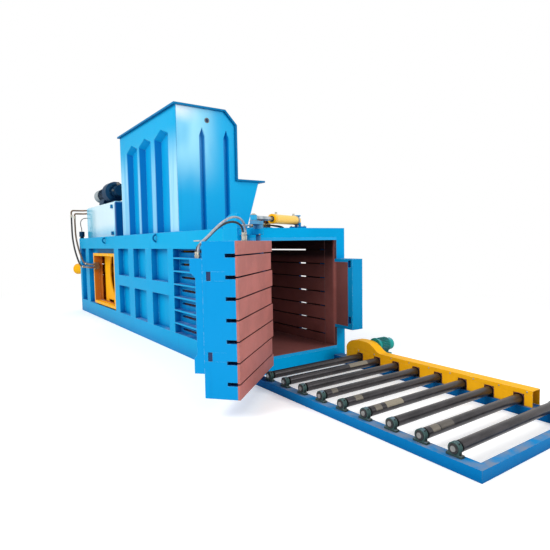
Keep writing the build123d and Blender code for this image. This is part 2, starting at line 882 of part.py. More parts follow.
def main_rod(side, height):
    """Piston, rod and eye."""
    length = rest_length()
    start = -barrel_tail + barrel_cap + piston_clearance
    body = round_bar((start, 0, 0), (start + piston_length, 0, 0), barrel_bore - slide_clearance)
    body += round_bar((start, 0, 0), (length - gland_setback, 0, 0), rod_radius)
    half = rod_eye_height / 2
    body += bar(length - gland_setback, length, -rod_neck_half, rod_neck_half, -half, half)
    eye = round_bar((length, 0, -rod_eye_height / 2), (length, 0, rod_eye_height / 2), rod_eye_radius)
    pin = rod_eye_height / 2 + rod_lug_clearance / 2
    eye += round_bar((length, 0, -pin), (length, 0, pin), trunnion_radius)
    return [place(body + eye, side, height)]


def shut_to_rest(pieces):
    """Swing what is drawn with the door shut to its rest place, wide open."""
    return [piece.rotate(hinge, -door_swing) for piece in pieces]


def door_frame():
    """Door weldment: back slab with bolt channels, bars between the wire grooves, hinge stile."""
    plate_back = door_face + wear_plate
    groove_back = plate_back + door_groove_depth
    hinge_edge = -door_half_width + stile_width
    pieces = []
    for i, (z0, z1) in enumerate(bar_edges(door_bottom, door_top, slot_height)):
        edge = hinge_edge if i in lug_slots else -door_half_width
        pieces.append(bar(plate_back, groove_back, edge, door_half_width, z0, z1))
    free = door_half_width - bolt_length - bolt_inset - bolt_clearance
    pieces.append(bar(groove_back, door_back, hinge_edge, free, door_bottom, door_top))
    half = bolt_height / 2 + bolt_clearance
    x0, x1 = bolt_x - bolt_thickness / 2 - bolt_clearance, bolt_x + bolt_thickness / 2 + bolt_clearance
    levels = [door_bottom] + [z + step * half for z in bolt_heights for step in (-1, 1)] + [door_top]
    for k in range(0, len(levels), 2):
        pieces.append(bar(groove_back, door_back, free, door_half_width, levels[k], levels[k + 1]))
    for z in bolt_heights:
        pieces.append(bar(groove_back, x0, free, door_half_width, z - half, z + half))
        pieces.append(bar(x1, door_back, free, door_half_width, z - half, z + half))
    centres = [lug_middle(i) for i in lug_slots]
    lows = [door_bottom] + [z + lug_pocket / 2 for z in centres]
    highs = [z - lug_pocket / 2 for z in centres] + [door_top]
    for z0, z1 in zip(lows, highs):
        pieces.append(bar(groove_back, door_back, -door_half_width, hinge_edge, z0, z1))
    knuckle = Pos(hinge_x, hinge_y) * Circle(knuckle_radius)
    web = -door_half_width - hinge_y
    knuckle += Pos(hinge_x, hinge_y + web / 2) * Rectangle(2 * knuckle_radius, web)
    knuckle -= Pos(hinge_x, hinge_y) * Circle(shaft_radius)
    for z in centres:
        start = z + lug_thickness / 2 + knuckle_gap
        pieces.append(level_plate(knuckle, start + knuckle_gap, start + knuckle_height))
        pieces.append(level_plate(knuckle, 2 * z - start - knuckle_height, 2 * z - start - knuckle_gap))
    return shut_to_rest(pieces)


def door_wear_plates():
    """Eight wear plates on the inner face of the door."""
    hinge_edge = -door_half_width + stile_width
    pieces = []
    for i, (z0, z1) in enumerate(bar_edges(door_bottom, door_top, wear_gap)):
        edge = hinge_edge if i in lug_slots else -door_half_width
        pieces.append(bar(door_face, door_face + wear_plate, edge, door_half_width, z0, z1))
    return shut_to_rest(pieces)


def lock_beam():
    """Upright on the outer face of the door with a housing at each bolt."""
    outline = polygon(
        (door_back, lock_beam_bottom),
        (door_back + lock_low_proud, lock_beam_bottom),
        (door_back + lock_low_proud, lock_low_top),
        (door_back + lock_beam_proud, lock_low_top + lock_low_proud - lock_beam_proud),
        (door_back + lock_beam_proud, lock_high_bottom - lock_high_proud + lock_beam_proud),
        (door_back + lock_high_proud, lock_high_bottom),
        (door_back + lock_high_proud, lock_beam_top),
        (door_back, lock_beam_top),
    )
    return shut_to_rest([side_plate(outline, door_half_width - lock_beam_width, door_half_width)])


def lock_bolts():
    """Flat lock bolts that slide out of the free edge of the door."""
    end = door_half_width - bolt_inset
    pieces = []
    for z in bolt_heights:
        half = bolt_height / 2
        pieces.append(bar(bolt_x - bolt_thickness / 2, bolt_x + bolt_thickness / 2,
                          end - bolt_length, end, z - half, z + half))
    return shut_to_rest(pieces)


def hinge_shaft():
    """Hinge shaft, turned with the door, and the crank keyed to its head."""
    crank_top = crank_bottom + crank_thickness
    shaft = round_bar((hinge_x, hinge_y, shaft_bottom), (hinge_x, hinge_y, crank_top), shaft_radius)
    pin_x, pin_y = crank_pin()
    arm = Pos(hinge_x, hinge_y) * Circle(crank_hub_radius) + Pos(pin_x, pin_y) * Circle(crank_boss_radius)
    middle = ((hinge_x + pin_x) / 2, (hinge_y + pin_y) / 2)
    arm += Pos(*middle) * Rot(0, 0, crank_angle) * Rectangle(crank_radius, 2 * crank_boss_radius)
    hole = Pos(hinge_x, hinge_y) * Circle(shaft_radius)
    crank = level_plate(arm - hole, crank_bottom, crank_top)
    collar_foot = top_lug_height + lug_thickness + bearing_clearance
    collar = level_plate(Pos(hinge_x, hinge_y) * Circle(knuckle_radius) - hole, collar_foot, crank_bottom)
    return [shaft, crank, collar]


def crank_pin():
    """Place of the crank pin at rest."""
    angle = radians(crank_angle)
    return hinge_x + crank_radius * cos(angle), hinge_y + crank_radius * sin(angle)


def door_cylinder_place(piece):
    """Put a piece, drawn along X from the base pin, on the line to the crank pin."""
    pin_x, pin_y = crank_pin()
    line = Vector(pin_x - door_base_x, pin_y - door_base_y, 0)
    turn = -line.get_angle(Vector(1, 0, 0))
    return Pos(door_base_x, door_base_y, door_eye_z) * Rot(0, 0, turn) * piece


def door_reach():
    """Distance from base pin to crank pin at rest."""
    pin_x, pin_y = crank_pin()
    return hypot(pin_x - door_base_x, pin_y - door_base_y)


def door_barrel():
    """Barrel of the door cylinder with its rear eye."""
    half = door_eye_height / 2
    start = 1.3 * door_eye_radius
    cap = start + door_cap_length
    mouth = door_barrel_length
    gland = mouth - door_gland_length
    body = round_bar((start, 0, 0), (mouth, 0, 0), door_barrel_radius)
    body -= round_bar((cap, 0, 0), (gland, 0, 0), door_barrel_bore)
    body -= round_bar((gland, 0, 0), (mouth, 0, 0), door_rod_radius + slide_clearance)
    eye = Circle(door_eye_radius) + Pos(start / 2, 0) * Rectangle(start, 1.6 * door_eye_radius)
    body += level_plate(eye, -half, half)
    body -= level_plate(Circle(door_pin_radius + bearing_clearance), -half, half)
    return [door_cylinder_place(body)]


def door_rod():
    """Piston, rod and eye of the door cylinder, nearly full out at rest."""
    length = door_reach()
    half = door_eye_height / 2
    end = door_barrel_length - door_gland_length - door_piston_gap
    body = round_bar((end - door_piston_length, 0, 0), (end, 0, 0), door_barrel_bore - slide_clearance)
    body += round_bar((end, 0, 0), (length - door_eye_radius / 2, 0, 0), door_rod_radius)
    body += Pos(length, 0) * level_plate(Circle(door_eye_radius), -half, half)
    return [door_cylinder_place(body)]


def cylinder_bracket():
    """Bracket and pin on the header that hold the door cylinder's rear eye."""
    half = door_eye_height / 2
    seat = door_eye_z - half - bearing_clearance
    middle = Pos(door_base_x, door_base_y)
    plate = body_top + door_seat_plate
    foot = level_plate(middle * Rectangle(door_seat_length, door_seat_width), body_top, plate)
    stem = level_plate(middle * Circle(door_stem_radius), plate, seat)
    pin = round_bar((door_base_x, door_base_y, seat), (door_base_x, door_base_y, seat + 1.5 * door_eye_height),
                    door_pin_radius)
    return [foot + stem + pin]


def oil_tank():
    """Oil tank on the roof, with rounded edges and a filler cap."""
    tank = bar(tank_back, tank_front, -tank_near_side, -tank_near_side + tank_width, body_top, tank_top)
    edges = tank.edges().filter_by(Axis.Z) + tank.edges().group_by(Axis.Z)[-1]
    tank = fillet(edges, tank_corner)
    cap_x, cap_y = tank_back + cap_inset_x, -tank_near_side + tank_width - cap_inset_y
    return [tank, round_bar((cap_x, cap_y, tank_top), (cap_x, cap_y, tank_top + cap_height), cap_radius)]


def pump_motor():
    """Finned electric motor body on two feet on the tank."""
    x0 = cowl_back + cowl_length
    x1 = x0 + motor_length
    section = Circle(motor_radius)
    fin = Pos(motor_radius, 0) * Rectangle(2 * motor_fin, motor_fin_thickness)
    for i in range(motor_fin_count):
        section += Rot(0, 0, 360.0 / motor_fin_count * (i + 0.5)) * fin
    body = Pos(0, motor_y, motor_z) * end_plate(section, x0, x1)
    top = tank_top
    foot = end_plate(
        polygon(
            (motor_y - motor_foot_reach, top),
            (motor_y + motor_foot_reach, top),
            (motor_y + motor_foot_reach, top + motor_foot_plate),
            (motor_y + motor_foot_waist, motor_z),
            (motor_y - motor_foot_waist, motor_z),
            (motor_y - motor_foot_reach, top + motor_foot_plate),
        ),
        x0 + motor_foot_start,
        x0 + motor_foot_end,
    )
    core = round_bar((x0, motor_y, motor_z), (x1, motor_y, motor_z), motor_radius)
    return [body + (foot - core)]


def fan_cowl():
    """Round cowl over the motor's fan with a rounded rim."""
    x0 = cowl_back
    cowl = round_bar((x0, motor_y, motor_z), (x0 + cowl_length, motor_y, motor_z), cowl_radius)
    cowl = fillet(cowl.edges().group_by(Axis.X)[0], cowl_rounding)
    return [cowl]


def pump_housing():
    """Light flange, bell housing and pump in front of the motor."""
    x = cowl_back + cowl_length + motor_length
    ends = [x, x + flange_length, x + flange_length + bell_length]
    flange = round_bar((ends[0], motor_y, motor_z), (ends[1], motor_y, motor_z), flange_radius)
    bell = round_bar((ends[1], motor_y, motor_z), (ends[2], motor_y, motor_z), bell_radius)
    bell = chamfer(bell.edges().group_by(Axis.X)[-1], bell_slope)
    pump = round_bar((ends[2], motor_y, motor_z), (ends[2] + pump_length, motor_y, motor_z), pump_radius)
    return [flange, bell, pump]


def lifting_eyes():
    """Rings welded to the top beams and small lifting lugs on the tank."""
    pieces = []
    for x in (hopper_back - ring_behind_hopper, -hopper_front - ring_behind_hopper_front):
        bow = Plane(origin=(x, -outer, body_top - ring_drop), x_dir=(0, 0, 1), z_dir=(1, 0, 0))
        path = bow * CenterArc((0, 0), ring_radius, 0, 180)
        ring = sweep(Plane(origin=path @ 0, z_dir=path % 0) * Circle(ring_bar_radius), path=path)
        pieces += both_sides([ring])
    ahead = tank_front - ear_inset
    for z in (body_top + ear_height / 2, tank_top - 2 * ear_height):
        slope = ear_length / 4
        ear = polygon(
            (ahead - ear_length, z),
            (ahead, z),
            (ahead - slope, z + ear_height),
            (ahead - ear_length + slope, z + ear_height),
        )
        ear -= Pos(ahead - ear_length / 2, z + 0.55 * ear_height) * Circle(ear_hole_radius)
        pieces.append(side_plate(ear, -tank_near_side - ear_thickness, -tank_near_side))
    return pieces


def bent_path(points, run_share=0.45):
    """Straight runs joined by tangent arcs as large as the runs allow."""
    places = [Vector(*point) for point in points]
    radii = []
    for before, at, after in zip(places[:-2], places[1:-1], places[2:]):
        turn = (at - before).get_angle(after - at)
        shorter = min((at - before).length, (after - at).length)
        radii.append(run_share * shorter / tan(radians(turn / 2)))
    return FilletPolyline(*places, radius=radii), radii


def hose(name, points, radius):
    """Round hose along its route. Prints its bend radii and its volume against section times length."""
    path, radii = bent_path(points)
    tube = sweep(Plane(origin=path @ 0, z_dir=path % 0) * Circle(radius), path=path)
    nominal = path.length * pi * radius ** 2
    print(name, "radii", [round(r) for r in radii], "volume ratio", round(tube.volume / nominal, 4))
    return [tube]


# Routes of the hoses, each a list of places chosen along the real run
rear_hose_a = [
    (body_rear - 149.0, -outer - 45.0, body_top + 479.0),
    (body_rear - 149.0, -outer - 45.0, body_top + 269.0),
    (body_rear - 127.0, -outer - 46.0, body_top + 64.0),
    (body_rear - 14.0, -outer - 43.0, body_top - 126.0),
    (body_rear + 156.0, -outer - 44.0, body_top - 286.0),
    (body_rear + 341.0, -outer - 46.0, body_top - 416.0),
    (body_rear + 556.0, -outer - 45.0, body_top - 536.0),
    (body_rear + 761.0, -outer - 45.0, body_top - 536.0),
]
rear_hose_b = [
    (body_rear - 164.0, -outer - 110.0, body_top + 509.0),
    (body_rear - 164.0, -outer - 110.0, body_top + 274.0),
    (body_rear - 151.0, -outer - 111.0, body_top + 44.0),
    (body_rear - 44.0, -outer - 108.0, body_top - 171.0),
    (body_rear + 131.0, -outer - 109.0, body_top - 346.0),
    (body_rear + 326.0, -outer - 110.0, body_top - 486.0),
    (body_rear + 551.0, -outer - 110.0, body_top - 591.0),
    (body_rear + 761.0, -outer - 110.0, body_top - 591.0),
]
gauge_loop = [
    (body_rear + 231.0, -outer + 135.0, body_top + 434.0),
    (body_rear + 231.0, -outer + 67.0, body_top + 434.0),
    (body_rear + 173.0, -outer + 23.0, body_top + 404.0),
    (body_rear + 107.0, -outer + 13.0, body_top + 342.0),
    (body_rear + 69.0, -outer + 27.0, body_top + 270.0),
    (body_rear + filter_inset_x, -outer + filter_inset_y, body_top + filter_height + 58.0),
    (body_rear + filter_inset_x, -outer + filter_inset_y, body_top + filter_height),
]
door_hose_shut_a = [
    (398.0, -465.0, door_top + 60.0),
    (398.0, -465.0, door_top + 149.0),
    (412.0, -375.0, door_top + 219.0),
    (434.0, -205.0, door_top + 232.0),
    (455.0, -20.0, door_top + 189.0),
    (476.0, 165.0, door_top + 112.0),
    (491.0, 335.0, door_top + 30.0),
    (499.0, 462.0, door_top - 16.0),
    (500.0, 500.0, door_top - 60.0),
    (500.0, 500.0, door_top - 110.0),
]
door_hose_shut_b = [
    (405.0, -405.0, door_top + 60.0),
    (405.0, -405.0, door_top + 124.0),
    (425.0, -335.0, door_top + 176.0),
    (455.0, -185.0, door_top + 186.0),
    (484.0, -10.0, door_top + 148.0),
    (508.0, 155.0, door_top + 76.0),
    (525.0, 300.0, door_top + 4.0),
    (533.0, 420.0, door_top - 34.0),
    (534.0, 455.0, door_top - 72.0),
    (534.0, 455.0, door_top - 110.0),
]


def swung(points):
    """Places given with the door shut, swung to the open rest place."""
    angle = radians(-door_swing)
    moved = []
    for x, y, z in points:
        dx, dy = x - hinge_x, y - hinge_y
        moved.append((hinge_x + dx * cos(angle) - dy * sin(angle), hinge_y + dx * sin(angle) + dy * cos(angle), z))
    return moved


def pipe(points):
    """Steel pipe along a bent route."""
    path, _ = bent_path(points)
    return sweep(Plane(origin=path @ 0, z_dir=path % 0) * Circle(pipe_radius), path=path)


def hose_fittings():
    """Straight fittings on the door's top edge and on the upper lock housing."""
    pieces = []
    for route in (door_hose_shut_a, door_hose_shut_b):
        x, y, z = route[0]
        pieces.append(round_bar((x, y, door_top), (x, y, z), fitting_radius))
        x, y, z = route[-1]
        pieces.append(round_bar((x, y, lock_beam_top), (x, y, z), fitting_radius))
    return shut_to_rest(pieces)


def hard_pipes():
    """Steel pipes from the tank to the hoses, and those that end at the port block in the window."""
    pieces = []
    block_x = window_rear + window_strip
    for route, z in ((rear_hose_a, pipe_low), (rear_hose_b, pipe_high)):
        x, y, low = route[0]
        root_y = -tank_near_side + pipe_inset
        pieces.append(pipe([(tank_back, root_y, z), (x, root_y, z), (x, y, z), (x, y, low)]))
        x, y, level = route[-1]
        mouth = block_x + port_block / 2
        pieces.append(pipe([(x, y, level), (mouth, y, level), (mouth, -outer, level)]))
    pieces.append(bar(block_x, block_x + port_block, -outer, -outer + port_block,
                      rear_hose_b[-1][2] - port_block / 2, rear_hose_a[-1][2] + port_block / 2))
    return pieces


def oil_filter():
    """Spin-on filter on its head at the rear corner of the roof."""
    x, y = body_rear + filter_inset_x, -outer + filter_inset_y
    seam = body_top + filter_head_height
    head = round_bar((x, y, body_top), (x, y, seam), filter_head_radius)
    can = round_bar((x, y, seam), (x, y, body_top + filter_height), filter_radius)
    return [head + fillet(can.edges().group_by(Axis.Z)[-1], filter_rounding)]


def conveyor_frame():
    """Two long rails and the end rail of the roller table."""
    x1 = table_end
    near = bar(front, x1, -near_rail_outer, -near_rail_inner, 0, rail_height)
    far = bar(front, x1, far_rail_inner, far_rail_outer, 0, rail_height)
    end = bar(x1 - table_end_rail, x1, -near_rail_inner, far_rail_inner, 0, rail_height)
    return [near, far, end]


def roller_places():
    """Places of the rollers along the table."""
    return [first_roller + roller_pitch * i for i in range(roller_count)]


def roller_bearings():
    """Pillow blocks on both rails."""
    foot = Pos(0, block_foot_height / 2 - roller_axis + rail_height) * Rectangle(block_foot, block_foot_height)
    neck = roller_axis - rail_height
    outline = Circle(block_radius) + foot + Pos(0, -neck / 2) * Rectangle(block_neck_share * block_radius, neck)
    outline -= Circle(roller_shaft + bearing_clearance)
    pieces = []
    for x in roller_places():
        for y in (near_block_y, far_block_y):
            pieces.append(side_plate(Pos(x, roller_axis) * outline, y - block_depth / 2, y + block_depth / 2))
    return pieces


def sprocket_outline(radius, teeth):
    """Flat chain wheel with blunt teeth."""
    root = radius - chain_height
    tooth = polygon(
        (root - tooth_sink, -tooth_root_half),
        (radius, -tooth_tip_half),
        (radius, tooth_tip_half),
        (root - tooth_sink, tooth_root_half),
    )
    wheel = Circle(root)
    for i in range(teeth):
        wheel += Rot(0, 0, 360.0 / teeth * i) * tooth
    return wheel


def roller(i):
    """Roller tube with its shaft and, on a driven one, its chain wheels."""
    x = roller_places()[i]
    far_end = far_block_y + block_depth / 2 + shaft_past_far_block
    if i < driven_rollers:
        far_end = table_chain_y + chain_width / 2
    body = round_bar((x, -roller_near_end, roller_axis), (x, roller_far_end, roller_axis), roller_radius)
    near_end = near_block_y - block_depth / 2 - shaft_past_near_block
    body += round_bar((x, near_end, roller_axis), (x, far_end, roller_axis), roller_shaft)
    planes = []
    if i < driven_rollers:
        planes.append(table_chain_y)
    if i == 0:
        planes.append(drive_chain_y)
    for y in planes:
        wheel = Pos(x, roller_axis) * sprocket_outline(sprocket_radius, sprocket_teeth)
        body += side_plate(wheel, y - sprocket_width / 2, y + sprocket_width / 2)
    return [body]


def drive_sprocket():
    """Chain wheel on the gearmotor's output shaft."""
    wheel = Pos(drive_x, drive_z) * sprocket_outline(drive_sprocket_radius, drive_sprocket_teeth)
    body = side_plate(wheel, drive_chain_y - sprocket_width / 2, drive_chain_y + sprocket_width / 2)
    end = guard_outer - guard_sheet - bearing_clearance
    body += round_bar((drive_x, drive_chain_y, drive_z), (drive_x, end, drive_z), drive_shaft_radius)
    return [body]


def chain_loop(first, second, r1, r2, y):
    """Closed chain band round two wheels given as X and Z places."""
    outside = hull_outline(first, second, r1 + chain_clearance + chain_height / 2,
                           r2 + chain_clearance + chain_height / 2)
    inside = hull_outline(first, second, r1 + chain_clearance, r2 + chain_clearance)
    return side_plate(outside - inside, y - chain_width / 2, y + chain_width / 2)


def hull_outline(first, second, r1, r2):
    """Two circles and the straight belt round them."""
    a, b = Vector(*first), Vector(*second)
    span = b - a
    slope = (r1 - r2) / span.length
    normal_out = Vector(-span.Y, span.X) / span.length
    along = span / span.length
    side = (1 - slope ** 2) ** 0.5
    up = along * slope + normal_out * side
    down = along * slope - normal_out * side
    corners = [a + up * r1, b + up * r2, b + down * r2, a + down * r1]
    belt = polygon(*[(p.X, p.Y) for p in corners])
    return belt + Pos(a.X, a.Y) * Circle(r1) + Pos(b.X, b.Y) * Circle(r2)


def drive_chains():
    """Short chain from the gearmotor and the long chain along the rollers."""
    places = roller_places()
    short = chain_loop((places[0], roller_axis), (drive_x, drive_z), sprocket_radius, drive_sprocket_radius,
                       drive_chain_y)
    long = chain_loop((places[0], roller_axis), (places[driven_rollers - 1], roller_axis), sprocket_radius,
                      sprocket_radius, table_chain_y)
    return [short, long]


def guard_crown():
    """Upper edge of the guard's hump, as shares of its length and height, to where it meets the level top."""
    shares = [
        (0.0, 0.0),
        (0.0217, 0.26),
        (0.0769, 0.56),
        (0.1578, 0.80),
        (0.2604, 0.94),
        (0.3807, 1.0),
        (0.5069, 1.0),
        (0.6351, 0.96),
        (0.7337, 0.82),
        (0.8264, 0.52),
        (0.9112, 0.20),
        (1.0, 0.0),
    ]
    return [(guard_start + x * hump_length, guard_top + z * hump_height) for x, z in shares]


def chain_guard():
    """Folded sheet guard over the chains, notched for the roller shafts and open at its far end."""
    t = guard_sheet
    y0, y1 = guard_inner, guard_outer
    notch_top = roller_axis + guard_hole
    pieces = [bar(guard_start, guard_end, y0, y0 + t, notch_top, guard_top)]
    edges = [guard_start]
    for x in roller_places()[:driven_rollers]:
        edges += [x - guard_hole, x + guard_hole]
    edges.append(guard_end)
    for k in range(0, len(edges), 2):
        if edges[k + 1] > edges[k]:
            pieces.append(bar(edges[k], edges[k + 1], y0, y0 + t, rail_height, notch_top))
    pieces.append(bar(guard_start, guard_end, y1 - t, y1, rail_height, guard_top))
    pieces.append(bar(guard_start, guard_start + t, y0 + t, y1 - t, rail_height, guard_top))
    crown = guard_crown()
    pieces.append(bar(crown[-1][0], guard_end, y0 + t, y1 - t, guard_top - t, guard_top))
    cheek = polygon(*crown)
    pieces.append(side_plate(cheek, y0, y0 + t))
    pieces.append(side_plate(cheek, y1 - t, y1))
    for (xa, za), (xb, zb) in zip(crown[:-1], crown[1:]):
        strip = polygon((xa, za), (xb, zb), (xb, zb - t), (xa, za - t))
        pieces.append(side_plate(strip, y0 + t, y1 - t))
    return pieces


def gearmotor():
    """Gearmotor on a shelf outside the guard."""
    y = guard_outer
    shell = y + gearmotor_collar_length
    end = shell + gearmotor_length
    collar_radius = gearmotor_radius + gearmotor_collar
    body = round_bar((drive_x, y, drive_z), (drive_x, shell, drive_z), collar_radius)
    body += round_bar((drive_x, shell, drive_z), (drive_x, end, drive_z), gearmotor_radius)
    back = end + gearmotor_cowl
    cowl = round_bar((drive_x, end, drive_z), (drive_x, back, drive_z), gearmotor_radius - gearmotor_cowl_step)
    cowl = fillet(cowl.edges().group_by(Axis.Y)[-1], gearmotor_cowl_rounding)
    shelf_top = drive_z - collar_radius
    under = shelf_top - shelf_plate
    shelf = side_plate(Pos(drive_x, shelf_top - shelf_plate / 2) * Rectangle(shelf_width, shelf_plate),
                       y, y + shelf_length)
    block = Pos(drive_x, shelf_top + saddle_height / 2) * Rectangle(saddle_width, saddle_height)
    saddle = side_plate(block, shell, y + saddle_end)
    tube = round_bar((drive_x, y, drive_z), (drive_x, end, drive_z), gearmotor_radius)
    outline = polygon((y, rail_height), (y, under), (y + saddle_end, under))
    gusset = end_plate(outline, drive_x - gusset_thickness / 2, drive_x + gusset_thickness / 2)
    return [body + cowl + (saddle - tube), shelf, gusset]


def build():
    """Make every sub-part and write it."""
    os.makedirs("parts", exist_ok=True)
    save("base_frame", base_frame())
    save("side_ribs", side_ribs())
    save("side_walls", side_walls())
    save("strapping_walls", strapping_walls())
    save("top_beams", top_beams())
    save("roof_plates", roof_plates())
    save("chamber_liner", chamber_liner())
    save("rear_lining", rear_lining())
    save("exit_frame", exit_frame())
    save("hinge_lugs", hinge_lugs())
    save("keeper_block", keeper_block())
    save("trunnion_brackets", trunnion_brackets())
    save("window_frame", window_frame())
    save("hopper_side_wall", hopper_side_wall())
    save("hopper_front_wall", hopper_front_wall())
    save("hopper_rear_walls", hopper_rear_walls())
    save("hopper_rim", hopper_rim())
    save("throat_knife", throat_knife())
    save("ram", ram())
    save("main_barrel_a", main_barrel(-1, cylinder_high))
    save("main_barrel_b", main_barrel(1, cylinder_low))
    save("main_rod_a", main_rod(-1, cylinder_high))
    save("main_rod_b", main_rod(1, cylinder_low))
    save("door_frame", door_frame())
    save("door_wear_plates", door_wear_plates())
    save("lock_beam", lock_beam())
    save("lock_bolts", lock_bolts())
    save("hinge_shaft", hinge_shaft())
    save("door_barrel", door_barrel())
    save("door_rod", door_rod())
    save("cylinder_bracket", cylinder_bracket())
    save("oil_tank", oil_tank())
    save("pump_motor", pump_motor())
    save("fan_cowl", fan_cowl())
    save("pump_housing", pump_housing())
    save("lifting_eyes", lifting_eyes())
    save("hard_pipes", hard_pipes())
    save("oil_filter", oil_filter())
    save("rear_hose_a", hose("rear_hose_a", rear_hose_a, hose_radius))
    save("rear_hose_b", hose("rear_hose_b", rear_hose_b, hose_radius))
    save("gauge_loop", hose("gauge_loop", gauge_loop, loop_radius))
    save("hose_fittings", hose_fittings())
    save("door_hose_a", hose("door_hose_a", swung(door_hose_shut_a), door_hose_radius))
    save("door_hose_b", hose("door_hose_b", swung(door_hose_shut_b), door_hose_radius))
    save("conveyor_frame", conveyor_frame())
    save("roller_bearings", roller_bearings())
    for i in range(roller_count):
        save(f"roller_{i + 1}", roller(i))
    save("drive_sprocket", drive_sprocket())
    save("drive_chains", drive_chains())
    save("chain_guard", chain_guard())
    save("gearmotor", gearmotor())


build()
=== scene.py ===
from math import cos, pi, radians, sin

import bmesh
import bpy
import numpy as np
from bpy.props import FloatProperty, FloatVectorProperty, IntProperty, PointerProperty
from mathutils import Matrix, Vector


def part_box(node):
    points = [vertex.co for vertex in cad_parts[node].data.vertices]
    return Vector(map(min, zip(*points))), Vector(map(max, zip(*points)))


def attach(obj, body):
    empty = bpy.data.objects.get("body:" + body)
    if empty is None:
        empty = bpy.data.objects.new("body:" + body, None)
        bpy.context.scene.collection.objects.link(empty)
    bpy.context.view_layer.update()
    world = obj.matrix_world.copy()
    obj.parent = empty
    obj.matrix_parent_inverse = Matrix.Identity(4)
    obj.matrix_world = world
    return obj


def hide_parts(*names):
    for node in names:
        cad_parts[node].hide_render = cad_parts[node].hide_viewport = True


bl_info = {
    "name": "Recycling baler",
    "version": (1, 0, 0),
    "blender": (4, 5, 0),
    "location": "View3D > Sidebar > Baler",
    "description": "Finishes, hoses, welds and fittings of a horizontal baler on its packed frame",
    "category": "Object",
}

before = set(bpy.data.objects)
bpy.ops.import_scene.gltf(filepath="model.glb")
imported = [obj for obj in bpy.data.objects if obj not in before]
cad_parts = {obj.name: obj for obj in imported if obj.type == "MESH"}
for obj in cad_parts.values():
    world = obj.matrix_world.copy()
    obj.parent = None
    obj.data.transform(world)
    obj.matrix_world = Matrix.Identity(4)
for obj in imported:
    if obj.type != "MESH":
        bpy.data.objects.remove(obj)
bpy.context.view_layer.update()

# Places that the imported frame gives, in metres
BODY_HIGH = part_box("top_beams")[1]
TANK_LOW, TANK_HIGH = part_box("oil_tank")
LINER_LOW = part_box("chamber_liner")[0]
ROOF = BODY_HIGH.z
OUTER = BODY_HIGH.y
# Origin and directions of the frame: along the press and across it, the photograph's camera on the near side
ORIGIN = (0, 0, 0)
AHEAD, BACK, NEAR, FAR, UP, DOWN = (1, 0, 0), (-1, 0, 0), (0, -1, 0), (0, 1, 0), (0, 0, 1), (0, 0, -1)
# Places in the CAD that no single box gives, in metres and radians: the side walls' faces, the vertical seam and
# the roof's underside of the lining, and the service window's ends along X and Z
WALL = 0.645
LINER_SEAM, LINER_ROOF = -0.028, 1.4355
WINDOW = (-5.583, -4.16, 0.278, 1.267)
SIGHT_HOLE = (-1.437, -0.236, 3.047)
HINGE = (0.3, -0.578)
DOOR_SWING = radians(138.3)
CRANK_REACH, CRANK_TURN = 0.15, radians(-49.0)
CRANK_PIN = (HINGE[0] + CRANK_REACH * cos(CRANK_TURN), HINGE[1] + CRANK_REACH * sin(CRANK_TURN), 1.664)
NIPPLE_TURN = radians(-20.0)
BRACKET = (0.0, 0.158)
# Main barrels: tag, side and height, and how far they lean in from the pressing direction
BARRELS = (("a", -1, 0.89), ("b", 1, 0.64))
BARREL_SLOPE = radians(24.7)
# Axes of the gearmotor (X and Z) and of the pump set (Y and Z), and of the rollers
MOTOR_AXIS = (0.675, 0.252)
PUMP_AXIS = (-0.45, 2.43)
ROLLER_Z = 0.127
ROLLERS = [0.561 + 0.256 * i for i in range(9)]
# Edges between flat faces stay sharp above this angle
SHARP = radians(35.0)
# Rubbed patches of the rollers: roller number, start and end along Y, how far the scale is gone
RUBBED = [(2, 0.15, 0.4, 0.75), (4, -0.545, -0.48, 0.35), (5, -0.52, -0.44, 0.5), (6, -0.44, -0.25, 1.0),
          (6, -0.56, -0.49, 0.5), (8, -0.56, -0.48, 0.5), (8, -0.47, -0.33, 0.25)]
# Back of the exit frame, foot and top of the side walls' ribs, and the start and end of each rib along X
EXIT_BACK = -0.15
RIB_FOOT, RIB_TOP = 0.256, 1.355
RIBS = [(-6.721, -6.592), (-6.196, -5.946), (-1.709, -1.519), (-2.566, -2.316), (-3.363, -3.113), (-4.16, -3.91)]


class BalerSizes(bpy.types.PropertyGroup):
    """Sizes of what is laid over the frame."""

    weld: FloatProperty(name="Weld width", description="Leg of the fillet welds", default=0.007, unit="LENGTH")
    ripple: FloatProperty(name="Weld ripple", description="Length of one ripple of a weld", default=0.011,
                          unit="LENGTH")
    hose: FloatProperty(name="Main hose", description="Diameter of the main hoses", default=0.036, unit="LENGTH")
    door_hose: FloatProperty(name="Door hose", description="Diameter of the hoses on the door", default=0.022,
                             unit="LENGTH")
    gauge_hose: FloatProperty(name="Gauge hose", description="Diameter of the gauge line", default=0.016,
                              unit="LENGTH")
    edge: FloatProperty(name="Edge radius", description="Radius of the painted edges", default=0.005, unit="LENGTH")
    fins: IntProperty(name="Fins", description="Cooling fins round the gearmotor", default=28, min=8)


